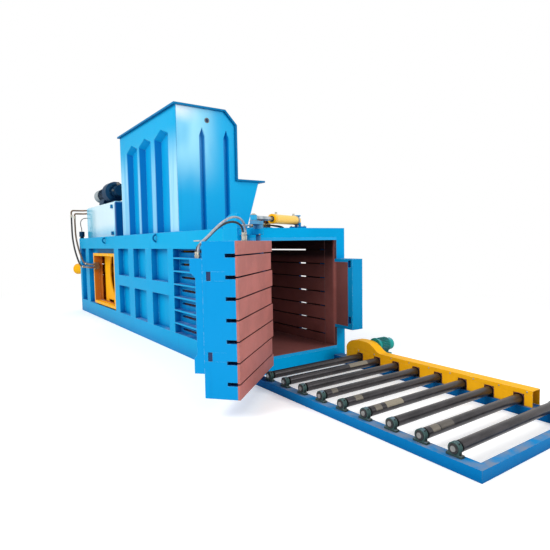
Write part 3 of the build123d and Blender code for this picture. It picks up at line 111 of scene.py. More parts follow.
class BalerFinish(bpy.types.PropertyGroup):
    """Colours of the paints and bare metals."""

    blue: FloatVectorProperty(name="Blue enamel", description="Paint of the frame and the hopper",
                              default=(0.0, 0.35, 0.665), size=3, subtype="COLOR", min=0, max=1)
    # The colour of painted shade in corners and recesses, and of faint streaks in the paint.
    deep_and_shade_blue: FloatVectorProperty(name="Deep blue", description="Blue paint in corners and recesses",
                                   default=(0.0, 0.09, 0.36), size=3, subtype="COLOR", min=0, max=1)
    table_blue: FloatVectorProperty(name="Table blue", description="Paint of the roller table",
                                    default=(0.0, 0.225, 0.55), size=3, subtype="COLOR", min=0, max=1)
    pale_blue: FloatVectorProperty(name="Tank blue", description="Paint of the oil tank",
                                   default=(0.22, 0.66, 0.86), size=3, subtype="COLOR", min=0, max=1)
    yellow: FloatVectorProperty(name="Yellow enamel", description="Paint of the guard, the ram and the cylinders",
                                default=(1.0, 0.48, 0.008), size=3, subtype="COLOR", min=0, max=1)
    liner: FloatVectorProperty(name="Liner", description="Red-brown coat of the wear plates",
                               default=(0.51, 0.168, 0.145), size=3, subtype="COLOR", min=0, max=1)
    teal: FloatVectorProperty(name="Teal", description="Paint of the gearmotor",
                              default=(0.018, 0.33, 0.31), size=3, subtype="COLOR", min=0, max=1)
    navy: FloatVectorProperty(name="Navy", description="Paint of the pump set",
                              default=(0.002, 0.035, 0.085), size=3, subtype="COLOR", min=0, max=1)
    tube: FloatVectorProperty(name="Roller tube", description="Dark mill scale of the rollers",
                              default=(0.02, 0.018, 0.02), size=3, subtype="COLOR", min=0, max=1)


def arithmetic(operation, swapped=False):
    """Method that adds the Math node of an operator, with the two values swapped for its reflected form."""
    def method(self, other):
        return self.math(operation, *((other, self) if swapped else (self, other)))
    return method


class Wire:
    """A shader socket that stands in an expression; each operator adds its Math node."""

    def __init__(self, tree, socket):
        self.tree = tree
        self.socket = socket

    def math(self, operation, first, second=0.0):
        return self.tree.node("Math", {"operation": operation}, {0: first, 1: second})

    __add__, __radd__ = arithmetic("ADD"), arithmetic("ADD", True)
    __sub__, __rsub__ = arithmetic("SUBTRACT"), arithmetic("SUBTRACT", True)
    __mul__, __rmul__ = arithmetic("MULTIPLY"), arithmetic("MULTIPLY", True)

    def sine(self):
        return self.math("SINE", self)

    def size(self):
        return self.math("ABSOLUTE", self)

    def step(self, low, high):
        """0 below low and 1 above high, smooth between them."""
        settings = {"interpolation_type": "SMOOTHSTEP", "clamp": True}
        return self.tree.node("MapRange", settings, {"Value": self, "From Min": low, "From Max": high})

    def fall(self, low, high):
        """1 below low and 0 above high, smooth between them."""
        return 1.0 - self.step(low, high)

    def part(self, axis):
        return self.tree.node("SeparateXYZ", {}, {0: self}, axis)

    x = property(lambda self: self.part(0))
    y = property(lambda self: self.part(1))
    z = property(lambda self: self.part(2))

    def scaled(self, x, y, z):
        return self.tree.node("VectorMath", {"operation": "MULTIPLY"}, {0: self, 1: (x, y, z)})

    def dot(self, other):
        return self.tree.node("VectorMath", {"operation": "DOT_PRODUCT"}, {0: self, 1: other}, "Value")

    def mix(self, first, second):
        """The first colour where this value is 0, the second where it is 1."""
        values = {0: self, 6: first, 7: second}
        return self.tree.node("Mix", {"data_type": "RGBA", "clamp_factor": True}, values, 2)


class Tree:
    """A node tree whose nodes are added by name and filled in one call."""

    def __init__(self, tree):
        self.nodes = tree.nodes
        self.links = tree.links

    def node(self, kind, settings, values, output=0):
        """Add a node, set what it is set to, then fill or link its sockets, and give one output."""
        made = self.nodes.new("ShaderNode" + kind)
        for key, value in settings.items():
            setattr(made, key, value)
        for key, value in values.items():
            self.put(made.inputs[key], value)
        return Wire(self, made.outputs[output])

    def put(self, socket, value):
        if isinstance(value, Wire):
            self.links.new(value.socket, socket)
        elif socket.type == "RGBA":
            socket.default_value = (*tuple(value)[:3], 1.0)
        else:
            socket.default_value = value

    def seen(self):
        """1 for what the camera sees, straight, mirrored or through glass, and 0 for light on the machine."""
        kinds = ("Is Camera Ray", "Is Glossy Ray", "Is Transmission Ray")
        rays = [self.node("LightPath", {}, {}, kind) for kind in kinds]
        return rays[0].math("MAXIMUM", rays[0], rays[1].math("MAXIMUM", rays[1], rays[2]))

    def place(self, output="Object"):
        return self.node("TexCoord", {}, {}, output)

    def facing(self):
        """The way that the face looks, before any bump."""
        return self.node("NewGeometry", {}, {}, "Normal")

    def noise(self, where, scale, detail=3.0, rough=0.55):
        return self.node("TexNoise", {}, {"Vector": where, "Scale": scale, "Detail": detail, "Roughness": rough})

    def soft_edge(self, radius):
        """Normal with its edges rounded, and a mask that is 1 on them."""
        round_normal = self.node("Bevel", {"samples": 6}, {"Radius": radius})
        return round_normal, (1.0 - round_normal.dot(self.facing())).step(0.012, 0.16)

    def hollow(self, distance):
        """1 in the open, less where other faces stand close."""
        return self.node("AmbientOcclusion", {"samples": 6}, {"Distance": distance}, "AO")


class Finish(Tree):
    """The node tree of one material, round a Principled shader."""

    def __init__(self, name):
        self.material = bpy.data.materials.new(name)
        self.material.use_nodes = True
        super().__init__(self.material.node_tree)
        self.nodes.clear()
        self.shader = self.nodes.new("ShaderNodeBsdfPrincipled")
        self.output = self.nodes.new("ShaderNodeOutputMaterial")
        self.links.new(self.shader.outputs[0], self.output.inputs[0])

    def set(self, **values):
        """Fill or link sockets of the shader; an underscore stands for a space."""
        for key, value in values.items():
            self.put(self.shader.inputs[key.replace("_", " ")], value)

    def bump(self, height, normal=None):
        values = {"Height": height, "Strength": 1.0, "Distance": 1.0}
        if normal is not None:
            values["Normal"] = normal
        self.set(Normal=self.node("Bump", {}, values))


def tinted(colour, factor, lift=0.0):
    """A colour times a factor plus a lift, no channel over 1."""
    return tuple(min(1.0, c * factor + lift) for c in colour)


def enamel(name, colour, deep, gloss=0.34, wear=(0.42, 0.7, 0.86), waves=0.0012, corner_shade_strength=1.0, dust_and_skylight=0.45,
           shine=0.03, coat=0.0, coat_gloss=0.1, dust_and_skylight_colour=(0.36, 0.46, 0.66), tint_and_painted_light=None):
    """Sprayed enamel: orange peel, sheets that wave a little, painted shade in corners, rubbed edges with a painted
    edge highlight, dusting and painted skylight on top.
    """
    tree = Finish(name)
    where = tree.place()
    broad = tree.noise(where, 0.8, 3.0)
    cloud = tree.noise(where, 6.0, 5.0, 0.6)
    fine = tree.noise(where, 42.0, 6.0, 0.65)
    peel = tree.noise(where, 260.0, 2.0)
    streak = tree.noise(where.scaled(9.0, 9.0, 0.6), 2.0, 4.0)
    normal, edge = tree.soft_edge(bpy.context.scene.baler_sizes.edge)
    # Painted shade: the paint turns deep where other faces stand close, in corners and recesses.
    open_air = tree.hollow(0.3)
    corner = ((1.0 - open_air) * corner_shade_strength).step(0.08, 0.85)
    paint = (broad.step(0.35, 0.68) * 0.22).mix(colour, tinted(colour, 1.12, 0.02))
    paint = (streak.step(0.55, 0.75) * 0.1).mix(paint, deep)
    paint = corner.mix(paint, deep)
    # Per-finish colour changes, some of them painted shade, sheen and highlights.
    if tint_and_painted_light:
        paint = tint_and_painted_light(tree, where, paint)
    # Patchy rubbed edges in the paler colour: worn paint and also a painted edge highlight.
    paint = (edge * fine.step(0.42, 0.6) * 0.55).mix(paint, wear)
    # Top faces turn paler where the noise allows: dusting and also painted skylight from above.
    up = tree.facing().z.step(0.6, 0.98)
    dust_and_skylight_mask = up * cloud.step(0.35, 0.72) * dust_and_skylight
    paint = dust_and_skylight_mask.mix(paint, dust_and_skylight_colour)
    scuff = fine.step(0.66, 0.74) * cloud.step(0.55, 0.65) * 0.25
    paint = scuff.mix(paint, wear)
    tree.set(Base_Color=paint, Roughness=gloss + cloud * 0.1 + dust_and_skylight_mask * 0.4 + edge * 0.06, Metallic=0.0,
             Coat_Weight=coat, Coat_Roughness=coat_gloss, Specular_IOR_Level=shine)
    tree.bump(peel * 0.00012 + fine * 0.00018 + broad * waves, normal)
    return tree.material


ORANGE_BROWN = (0.55, 0.155, 0.018)


def side_shade_and_sheen(tree, where, paint):
    """Side wall of the hopper: painted shade in the pressed trays, deepest on their sides that look forwards, and a
    painted sheen on the strips between them, in pale streaks lower on the wall.
    """
    tray = where.y.step(-0.68, -0.668) * where.y.fall(-0.57, -0.55)
    shaded_flank = tray * tree.facing().x.step(0.25, 0.6)
    # Painted shade: the trays deeper, their forward-looking sides deepest.
    paint = (tray * 0.35).mix(paint, (0.0, 0.24, 0.62))
    paint = (shaded_flank * 0.85).mix(paint, (0.0, 0.125, 0.42))
    # Painted sheen: pale streaks and a pale band on the strips between the trays, fading higher up.
    streak = tree.noise(where.scaled(7.0, 1.0, 0.35), 1.0, 3.0).step(0.42, 0.62)
    low = where.z.fall(2.3, 3.0) * (1.0 - tray)
    paint = (low * streak * 0.55).mix(paint, (0.42, 0.78, 0.94))
    return (low * 0.35).mix(paint, (0.55, 0.82, 0.95))


def front_shade_and_sheen(tree, where, paint):
    """Front wall of the hopper: painted shade in the grooves, a painted sheen high on the wall towards its near
    edge, and a painted highlight along the near part of its top.
    """
    shaded_groove = where.x.fall(-1.462, -1.445)
    cloud = tree.noise(where.scaled(1.0, 1.3, 0.7), 1.5, 2.0).step(0.35, 0.65)
    # Painted sheen high on the wall.
    painted_sheen = (cloud * 0.6 + 0.4) * where.z.step(2.0, 2.75)
    edge = where.y.fall(-0.45, 0.05)
    paint = (painted_sheen * edge * 0.75).mix(paint, (0.42, 0.84, 0.95))
    # Painted highlight along the top.
    top = where.y.fall(-0.62, -0.3) * where.z.step(2.95, 3.15)
    paint = (top * 0.75).mix(paint, (0.9, 0.96, 0.98))
    # Painted shade in the grooves.
    return (shaded_groove * 0.8).mix(paint, (0.0, 0.25, 0.62))


def exit_face_light(tree, where, paint):
    """Exit frame: a painted light on its faces towards the table, a brighter blue that is brightest on the hinge
    side.
    """
    # Painted light: faces towards the table in a brighter blue.
    face = tree.facing().x.step(0.6, 0.9)
    return face.mix(paint, where.y.step(-0.4, 0.55).mix((0.0, 0.43, 0.85), (0.0, 0.345, 0.7)))


def strap_colour_and_slot_highlight(tree, where, paint):
    """Strapping walls: the far slots are bare grey-brown, and the topmost one is pale grey, a painted highlight."""
    normal, far = tree.facing(), where.y.step(0.5, 0.52)
    edge = normal.z.size().step(0.6, 0.9) * far
    paint = edge.mix(paint, (0.075, 0.075, 0.065))
    inner = normal.y.fall(-0.9, -0.6) * far
    paint = inner.mix(paint, (0.05, 0.034, 0.03))
    # Painted highlight: the topmost far slot pale grey.
    return (edge * where.z.step(1.26, 1.27)).mix(paint, (0.75, 0.76, 0.78))


def wall_tint(tree, where, paint):
    """Side wall: its cut edges round the service window are painted as the lining is."""
    side = tree.facing().y.size().fall(0.2, 0.5)
    x, z = where.x, where.z
    cut = x.step(-5.6, -5.59) * x.fall(-4.15, -4.14) * z.step(0.25, 0.26) * z.fall(1.29, 1.3)
    return (side * cut).mix(paint, ORANGE_BROWN)


def window_tint(tree, where, paint):
    """Window frame: the side of its opening that looks forwards is orange-brown, as the lining is."""
    inner = tree.facing().x.step(0.5, 0.9) * where.x.fall(-4.3, -4.2)
    return inner.mix(paint, ORANGE_BROWN)


def tank_sheen_and_shade(tree, where, paint):
    """Tank: a deeper cyan towards its foot and the left end of its near side, with patchy tone; a pale painted
    reflection in the middle of its near side; and painted shade, deep blue, on the end that faces the hopper.
    """
    # Painted shade on the end that faces the hopper, and a deeper cyan towards the foot and the left end.
    end = tree.facing().x.step(0.5, 0.95)
    foot = where.z.fall(1.6, 1.95)
    cloud = tree.noise(where.scaled(0.9, 1.0, 0.6), 1.6, 2.0).step(0.4, 0.65)
    paint = (foot * 0.5 + cloud * 0.3).mix(paint, (0.02, 0.5, 0.76))
    # Painted reflection: pale in the middle of the near side.
    middle = where.x.step(-6.25, -5.75) * where.y.fall(-0.6, -0.55) * where.z.step(1.62, 1.85)
    paint = (middle * 0.6).mix(paint, (0.78, 0.94, 0.98))
    left = where.x.fall(-6.4, -6.2) * where.y.fall(-0.6, -0.55)
    paint = (left * 0.6).mix(paint, (0.03, 0.5, 0.75))
    return end.mix(paint, (0.0, 0.085, 0.29))


def liner_steel(name, colour):
    """Wear plate in a thin red-brown coat, scored along the way of the bale, with painted shade in its corners,
    inside the chamber, behind the keeper and under the chamber's roof.
    """
    tree = Finish(name)
    where = tree.place()
    cloud = tree.noise(where, 3.2, 5.0, 0.6)
    mottle = tree.noise(where, 26.0, 5.0, 0.6)
    score = tree.noise(where.scaled(1.6, 40.0, 60.0), 3.0, 4.0, 0.7)
    normal, edge = tree.soft_edge(0.003)
    # Painted shade in corners.
    corner = (1.0 - tree.hollow(0.6)).step(0.15, 0.9)
    coat = cloud.step(0.35, 0.7).mix(colour, tinted(colour, 0.8))
    coat = (mottle.step(0.5, 0.72) * 0.3).mix(coat, (0.52, 0.24, 0.21))
    coat = (score.step(0.62, 0.74) * 0.2).mix(coat, (0.3, 0.16, 0.15))
    coat = (corner * 0.8).mix(coat, (0.065, 0.016, 0.019))
    coat = (edge * mottle.step(0.45, 0.62) * 0.6).mix(coat, (0.33, 0.27, 0.25))
    x, y, z = where.x, where.y, where.z
    # Painted shade inside the chamber, stronger towards its roof, and behind the keeper.
    inside = x.fall(0.1, 0.152)
    keeper = x.step(0.152, 0.2) * y.step(0.5, 0.55)
    shade = inside * (0.34 + 0.36 * z.step(0.35, 1.4)) + keeper * 0.62
    coat = shade.mix(coat, (0.055, 0.022, 0.022))
    # Darker painted shade just under the chamber's roof.
    coat = (inside * z.step(1.19, 1.27) * 0.85).mix(coat, (0.006, 0.006, 0.009))
    seam = (x - LINER_SEAM).size().fall(0.003, 0.007) * y.step(0.56, 0.575)
    coat = (seam * 0.8).mix(coat, (0.26, 0.14, 0.14))
    end_face = tree.facing().x.step(0.7, 0.95) * x.step(0.145, 0.149) * x.fall(0.151, 0.155)
    coat = end_face.mix(coat, (0.045, 0.012, 0.014))
    lip = z.step(LINER_ROOF, LINER_ROOF + 0.001) + z.fall(LINER_LOW.z + 0.03, LINER_LOW.z + 0.031)
    coat = (end_face * lip).mix(coat, (0.0, 0.385, 0.78))
    tree.set(Base_Color=coat, Roughness=0.47 + mottle * 0.16 - score * 0.05, Metallic=0.1,
             Specular_IOR_Level=0.3)
    tree.bump(mottle * 0.0004 + score * 0.0003 + cloud * 0.001, normal)
    return tree.material


def roller_steel(name, colour):
    """Dark mill scale with rubbed patches that show beige steel, and turned rings."""
    tree = Finish(name)
    where = tree.place()
    x, y, z = where.x, where.y, where.z
    upper = (z - ROLLER_Z).step(0.006, 0.008)
    patch = 0.0
    for number, start, end, share in RUBBED:
        near = (x - ROLLERS[number - 1]).size().fall(0.06, 0.061)
        patch = near * y.step(start, start + 0.004) * y.fall(end, end + 0.004) * share + patch
    cloud = tree.noise(where.scaled(6.0, 2.0, 6.0), 3.0, 5.0)
    fine = tree.noise(where, 90.0, 5.0)
    ring_marks = (y * 2600.0 + fine * 6.0).sine()
    scale = cloud.step(0.3, 0.7).mix(colour, tinted(colour, 2.2))
    rust = y.step(-0.1, 0.55) * (0.35 + cloud * 0.6)
    scale = (rust * 0.55).mix(scale, (0.07, 0.058, 0.054))
    rubbed = patch * upper * fine.step(0.22, 0.42)
    scale = (rubbed * 0.9).mix(scale, (0.31, 0.27, 0.2))
    scale = (fine.step(0.62, 0.74) * 0.3).mix(scale, (0.15, 0.1, 0.08))
    tree.set(Base_Color=scale, Roughness=0.24 + fine * 0.14 + rubbed * 0.3, Metallic=0.55 - rubbed * 0.4,
             Coat_Weight=0.15, Specular_IOR_Level=0.4)
    tree.bump(fine * 0.0004 + ring_marks * 0.00002)
    return tree.material


def rod_steel(name):
    """Ground rod of the door cylinder, with the eye on its end painted as the crank is."""
    tree = Finish(name)
    where = tree.place()
    x, y = where.x - CRANK_PIN[0], where.y - CRANK_PIN[1]
    eye = (x * x + y * y).fall(0.0013, 0.0015)
    film = tree.noise(where, 12.0, 4.0)
    steel = film.step(0.4, 0.7).mix((0.5, 0.56, 0.6), (0.22, 0.28, 0.32))
    tree.set(Base_Color=eye.mix(steel, (0.0, 0.36, 0.66)), Metallic=0.9 - eye * 0.9, Roughness=0.28 + eye * 0.12)
    tree.bump(film * 0.0002)
    return tree.material


def chrome(name):
    """Ground and polished chrome with faint rings and an oil film."""
    tree = Finish(name)
    where = tree.place()
    film = tree.noise(where, 7.0, 4.0)
    fine = tree.noise(where, 300.0, 2.0)
    colour = film.step(0.45, 0.75).mix((0.8, 0.81, 0.83), (0.62, 0.62, 0.6))
    tree.set(Base_Color=colour, Metallic=1.0, Roughness=0.1 + film * 0.12)
    tree.bump(fine * 0.00004)
    return tree.material


def bare_metal(name, colour, dark, rough, metallic):
    """Plated, ground or cast metal: cloudy colour, dark spots in pits, painted shade in corners, a painted
    highlight on edges and a fine grain.
    """
    tree = Finish(name)
    where = tree.place()
    cloud = tree.noise(where, 18.0, 5.0)
    fine = tree.noise(where, 180.0, 4.0)
    normal, edge = tree.soft_edge(0.0015)
    # Painted shade in corners.
    corner = (1.0 - tree.hollow(0.03)).step(0.1, 0.9)
    metal = cloud.step(0.35, 0.68).mix(colour, tuple(0.7 * a + 0.3 * b for a, b in zip(colour, dark)))
    metal = (fine.step(0.58, 0.72) * 0.35).mix(metal, dark)
    metal = (corner * 0.7).mix(metal, dark)
    # Painted highlight: edges lighter.
    metal = (edge * 0.4).mix(metal, tinted(colour, 1.4))
    tree.set(Base_Color=metal, Metallic=metallic, Roughness=rough + cloud * 0.15)
    tree.bump(fine * 0.0002 + cloud * 0.0003, normal)
    return tree.material


def hose_rubber(name, colour, band):
    """Rubber cover with a cloth wrap mark round it and a pale lay line along it, on the hose's own UV map."""
    tree = Finish(name)
    along, where = tree.place("UV"), tree.place()
    run, around = along.x, along.y
    dirt = tree.noise(where, 30.0, 4.0)
    wrap = (run * 900.0 + around * 6.283).sine()
    line = (1.0 - ((around - 0.25) * (around - 0.25))).step(0.999, 0.9997)
    cover = dirt.step(0.4, 0.75).mix(colour, tinted(colour, 1.5, 0.02))
    cover = (line * 0.7).mix(cover, band)
    tree.set(Base_Color=cover, Roughness=0.52 + dirt * 0.2)
    tree.bump(wrap * 0.00012 + dirt * 0.0003)
    return tree.material


def oiled_chain(name):
    """Dark oiled steel with drier, browner links."""
    tree = Finish(name)
    where = tree.place()
    cloud = tree.noise(where, 40.0, 4.0)
    colour = cloud.step(0.45, 0.7).mix((0.035, 0.032, 0.03), (0.12, 0.085, 0.06))
    tree.set(Base_Color=colour, Metallic=0.8, Roughness=0.3 + cloud * 0.25)
    tree.bump(cloud * 0.0004)
    return tree.material


def gauge_glass(name):
    """Oil behind the pane of the level gauge: amber below, clear above."""
    tree = Finish(name)
    where = tree.place()
    level = where.z.step(1.86, 1.866)
    cloud = tree.noise(where, 20.0, 3.0)
    colour = level.mix((0.42, 0.2, 0.02), (0.55, 0.62, 0.62))
    tree.set(Base_Color=(cloud * 0.15).mix(colour, (0.2, 0.15, 0.05)), Roughness=0.08 + cloud * 0.05)
    return tree.material


FINISHES = {}


def make_finishes():
    """One material for each finish of the machine."""
    c = bpy.context.scene.baler_finish
    blue, deep, yellow = tuple(c.blue), tuple(c.deep_and_shade_blue), tuple(c.yellow)
    amber = (0.62, 0.19, 0.003)
    clean_yellow = dict(gloss=0.34, wear=(0.8, 0.62, 0.35), corner_shade_strength=0.4, dust_and_skylight=0.05, dust_and_skylight_colour=(0.8, 0.56, 0.22))
    # For each enamel its colour, its darker colour for painted shade in corners and for faint streaks, and how it
    # differs from plain enamel
    enamels = {
        "blue": (blue, deep, {}),
        "beam": ((0.0, 0.375, 0.68), deep, dict(gloss=0.38, wear=(0.3, 0.62, 0.78))),
        "exit": (blue, deep, dict(tint_and_painted_light=exit_face_light)),
        "keeper": ((0.0, 0.265, 0.56), deep, {}),
        "strap": (blue, deep, dict(tint_and_painted_light=strap_colour_and_slot_highlight)),
        "hopper": ((0.0, 0.385, 0.76), (0.0, 0.14, 0.46), dict(gloss=0.3, waves=0.003)),
        "side_wall": ((0.0, 0.37, 0.68), (0.0, 0.15, 0.46), dict(gloss=0.3, waves=0.003, tint_and_painted_light=side_shade_and_sheen)),
        "front_wall": ((0.0, 0.4, 0.74), (0.0, 0.2, 0.54),
                       dict(gloss=0.28, waves=0.003, corner_shade_strength=0.6, shine=0.06, coat=0.06, coat_gloss=0.22,
                            tint_and_painted_light=front_shade_and_sheen)),
        "rim": ((0.0, 0.17, 0.38), (0.0, 0.06, 0.2), dict(gloss=0.35, wear=(0.15, 0.45, 0.6))),
        "door": ((0.0, 0.285, 0.645), (0.0, 0.06, 0.24), dict(gloss=0.42, corner_shade_strength=0.9, dust_and_skylight=0.1, shine=0.05)),
        "table": (tuple(c.table_blue), (0.0, 0.045, 0.19),
                  dict(gloss=0.4, dust_and_skylight=0.8, wear=(0.3, 0.3, 0.3), dust_and_skylight_colour=(0.26, 0.27, 0.3))),
        "tank": (tuple(c.pale_blue), (0.0, 0.2, 0.55),
                 dict(gloss=0.13, waves=0.003, corner_shade_strength=0.7, shine=0.5, coat=0.5, tint_and_painted_light=tank_sheen_and_shade)),
        "yellow": (yellow, amber, clean_yellow),
        "wall": (blue, deep, dict(tint_and_painted_light=wall_tint)),
        "window": (yellow, amber, dict(clean_yellow, tint_and_painted_light=window_tint)),
        "pale_yellow": ((1.0, 0.62, 0.1), (0.62, 0.3, 0.02),
                        dict(gloss=0.3, wear=(0.85, 0.75, 0.5), dust_and_skylight=0.1, dust_and_skylight_colour=(0.9, 0.75, 0.4), shine=0.3,
                             coat=0.2)),
        "orange": ((0.74, 0.23, 0.03), (0.34, 0.085, 0.01),
                   dict(gloss=0.42, wear=(0.6, 0.4, 0.2), dust_and_skylight_colour=(0.5, 0.24, 0.08))),
        "cover": ((1.0, 0.34, 0.025), (0.5, 0.13, 0.012), dict(gloss=0.42, wear=(0.7, 0.45, 0.2))),
        "teal": (tuple(c.teal), (0.002, 0.05, 0.045), dict(gloss=0.35, wear=(0.3, 0.5, 0.45))),
        "navy": (tuple(c.navy), (0.001, 0.008, 0.03), dict(gloss=0.33, wear=(0.12, 0.25, 0.36))),
        "grey": ((0.33, 0.38, 0.4), (0.1, 0.12, 0.14), dict(gloss=0.36, wear=(0.6, 0.6, 0.6))),
        "light": ((0.1, 0.33, 0.55), (0.02, 0.1, 0.25), dict(gloss=0.3, wear=(0.5, 0.6, 0.7))),
        "bearing": ((0.055, 0.105, 0.1), (0.01, 0.02, 0.02), dict(gloss=0.4, wear=(0.35, 0.36, 0.32))),
    }
    for key, (colour, corner, look) in enamels.items():
        FINISHES[key] = enamel("enamel_" + key, colour, corner, **look)
    # For each bare metal its material's name, its colour, its colour in pits and in painted shade, its roughness
    # and how metallic it is
    metals = {
        "pipe": ("pipe_brown", (0.2, 0.125, 0.075), (0.05, 0.03, 0.02), 0.36, 0.4),
        "shaft": ("shaft_steel", (0.27, 0.27, 0.26), (0.06, 0.055, 0.05), 0.42, 0.9),
        "dark_plated": ("dark_plated", (0.16, 0.16, 0.15), (0.03, 0.03, 0.03), 0.38, 0.9),
        "steel": ("ground_steel", (0.5, 0.5, 0.5), (0.1, 0.09, 0.085), 0.38, 1.0),
        "plated": ("plated_steel", (0.6, 0.57, 0.48), (0.18, 0.15, 0.1), 0.3, 1.0),
        "brass": ("brass", (0.72, 0.42, 0.12), (0.25, 0.12, 0.03), 0.28, 1.0),
        "iron": ("black_iron", (0.05, 0.05, 0.052), (0.012, 0.011, 0.011), 0.45, 0.8),
        "bolt_blue": ("bolt_oil", (0.002, 0.02, 0.1), (0.001, 0.006, 0.03), 0.55, 0.0),
    }
    for key, row in metals.items():
        FINISHES[key] = bare_metal(*row)
    FINISHES.update(
        liner=liner_steel("liner_coat", tuple(c.liner)),
        roller=roller_steel("roller_scale", tuple(c.tube)),
        chrome=chrome("rod_chrome"),
        door_rod=rod_steel("door_rod_steel"),
        rubber=hose_rubber("hose_black", (0.018, 0.018, 0.019), (0.35, 0.33, 0.28)),
        brown_hose=hose_rubber("hose_brown", (0.13, 0.085, 0.055), (0.4, 0.33, 0.22)),
        white_hose=hose_rubber("hose_white", (0.34, 0.35, 0.37), (0.16, 0.16, 0.18)),
        chain=oiled_chain("oiled_chain"),
        glass=gauge_glass("gauge_pane"),
    )


# Sub-parts of the frame by finish; the rollers have their own, and all others are plain blue
FINISHED_PARTS = {
    "side_wall": "hopper_side_wall", "front_wall": "hopper_front_wall", "hopper": "hopper_rear_walls",
    "rim": "hopper_rim lifting_eyes", "liner": "chamber_liner door_wear_plates", "orange": "rear_lining",
    "window": "window_frame", "steel": "throat_knife", "yellow": "ram main_barrel_a main_barrel_b chain_guard",
    "chrome": "main_rod_a main_rod_b", "door": "door_frame lock_beam", "bolt_blue": "lock_bolts",
    "beam": "top_beams", "keeper": "keeper_block", "exit": "exit_frame", "strap": "strapping_walls",
    "wall": "side_walls", "light": "hinge_shaft", "pale_yellow": "door_barrel", "door_rod": "door_rod",
    "tank": "oil_tank", "navy": "pump_motor pump_housing oil_filter", "grey": "fan_cowl", "pipe": "hard_pipes",
    "plated": "hose_fittings", "table": "conveyor_frame", "bearing": "roller_bearings",
    "chain": "drive_sprocket drive_chains", "teal": "gearmotor",
    "roller": " ".join(f"roller_{i + 1}" for i in range(len(ROLLERS))),
}
PART_FINISH = {part: finish for finish, parts in FINISHED_PARTS.items() for part in parts.split()}


def dress(thing, finish):
    """Give an object one finish and no other."""
    thing.data.materials.clear()
    thing.data.materials.append(FINISHES[finish])


def linked(name, data):
    """New object of some data, in the scene."""
    thing = bpy.data.objects.new(name, data)
    bpy.context.scene.collection.objects.link(thing)
    return thing


class Shape:
    """Points and faces that can be moved, repeated and joined before they become a mesh."""

    def __init__(self, points, faces):
        self.points = np.asarray(points, float).reshape(-1, 3)
        self.faces = faces

    def __add__(self, other):
        return joined([self, other])

    def moved(self, x, y, z):
        return Shape(self.points + np.array((x, y, z)), self.faces)

    def at(self, place, axis=AHEAD, turn=0.0):
        """Point the shape's X along axis, turned about it, and put its origin at the place."""
        x = np.array(axis, float) / np.linalg.norm(axis)
        y = np.cross(UP if abs(x[2]) < 0.9 else FAR, x)
        y /= np.linalg.norm(y)
        z = np.cross(x, y)
        c, s = cos(turn), sin(turn)
        basis = np.vstack([x, c * y + s * z, -s * y + c * z])
        return Shape(self.points @ basis + np.array(place, float), self.faces)

    def around(self, count):
        """The shape repeated evenly round X."""
        return joined([self.at(ORIGIN, AHEAD, 2 * pi * k / count) for k in range(count)])

    def piece(self, name, finish, body="base"):
        """Make a mesh object of the shape, with doubles merged and faces turned outwards, on a body."""
        mesh = bpy.data.meshes.new(name)
        mesh.from_pydata(self.points.tolist(), [], self.faces)
        work = bmesh.new()
        work.from_mesh(mesh)
        bmesh.ops.remove_doubles(work, verts=work.verts, dist=1e-6)
        bmesh.ops.dissolve_degenerate(work, edges=work.edges, dist=1e-7)
        bmesh.ops.recalc_face_normals(work, faces=work.faces)
        work.to_mesh(mesh)
        work.free()
        mesh.polygons.foreach_set("use_smooth", np.ones(len(mesh.polygons), bool))
        mesh.set_sharp_from_angle(angle=SHARP)
        thing = linked(name, mesh)
        dress(thing, finish)
        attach(thing, body)
        return thing


def joined(shapes):
    """All the shapes as one."""
    faces, shift = [], 0
    for shape in shapes:
        faces += [tuple(i + shift for i in face) for face in shape.faces]
        shift += len(shape.points)
    return Shape(np.vstack([shape.points for shape in shapes]), faces)


def lay(rows, body="base"):
    """Make a piece of each row: name, finish, shape, the shape's place, and where its X points if not ahead."""
    for name, finish, shape, *place in rows:
        shape.at(*place).piece(name, finish, body)


def grid_faces(rows, columns, closed=False):
    """Quads of a grid of points, row after row. Its columns go round, and its rows too where it is closed."""
    r = np.arange(rows if closed else rows - 1)
    r, c = [a.ravel() for a in np.meshgrid(r, np.arange(columns), indexing="ij")]
    r2, c2 = (r + 1) % rows, (c + 1) % columns
    quads = np.stack([r * columns + c, r2 * columns + c, r2 * columns + c2, r * columns + c2], 1)
    return [tuple(q) for q in quads.tolist()]


def capped_faces(rows, columns):
    """Quads of a grid of points, and its first and last row as one face each."""
    last = (rows - 1) * columns
    return grid_faces(rows, columns) + [tuple(range(columns)), tuple(range(last, last + columns))]


def spun(profile, sides):
    """Points of revolution about X: (along, radius cos t, radius sin t) for each place of the profile."""
    along, radius = np.asarray(profile, float).T[..., None]
    t = np.linspace(0, 2 * pi, sides, endpoint=False)
    return np.stack(np.broadcast_arrays(along, radius * np.cos(t), radius * np.sin(t)), 2)


def turned(profile, sides=32):
    """Solid of revolution about X, with a flat face at each end of its profile."""
    return Shape(spun(profile, sides), capped_faces(len(profile), sides))


def ring(profile, sides=32):
    """Closed ring of revolution about X, whose profile ends where it began."""
    return Shape(spun(profile, sides), grid_faces(len(profile), sides, True))


def band(start, end, inner, outer, soft=0.0015, sides=36):
    """Ring round X with broken corners, between two radii."""
    profile = [(start, inner), (start, outer - soft), (start + soft, outer), (end - soft, outer),
               (end, outer - soft), (end, inner)]
    return ring(profile, sides)


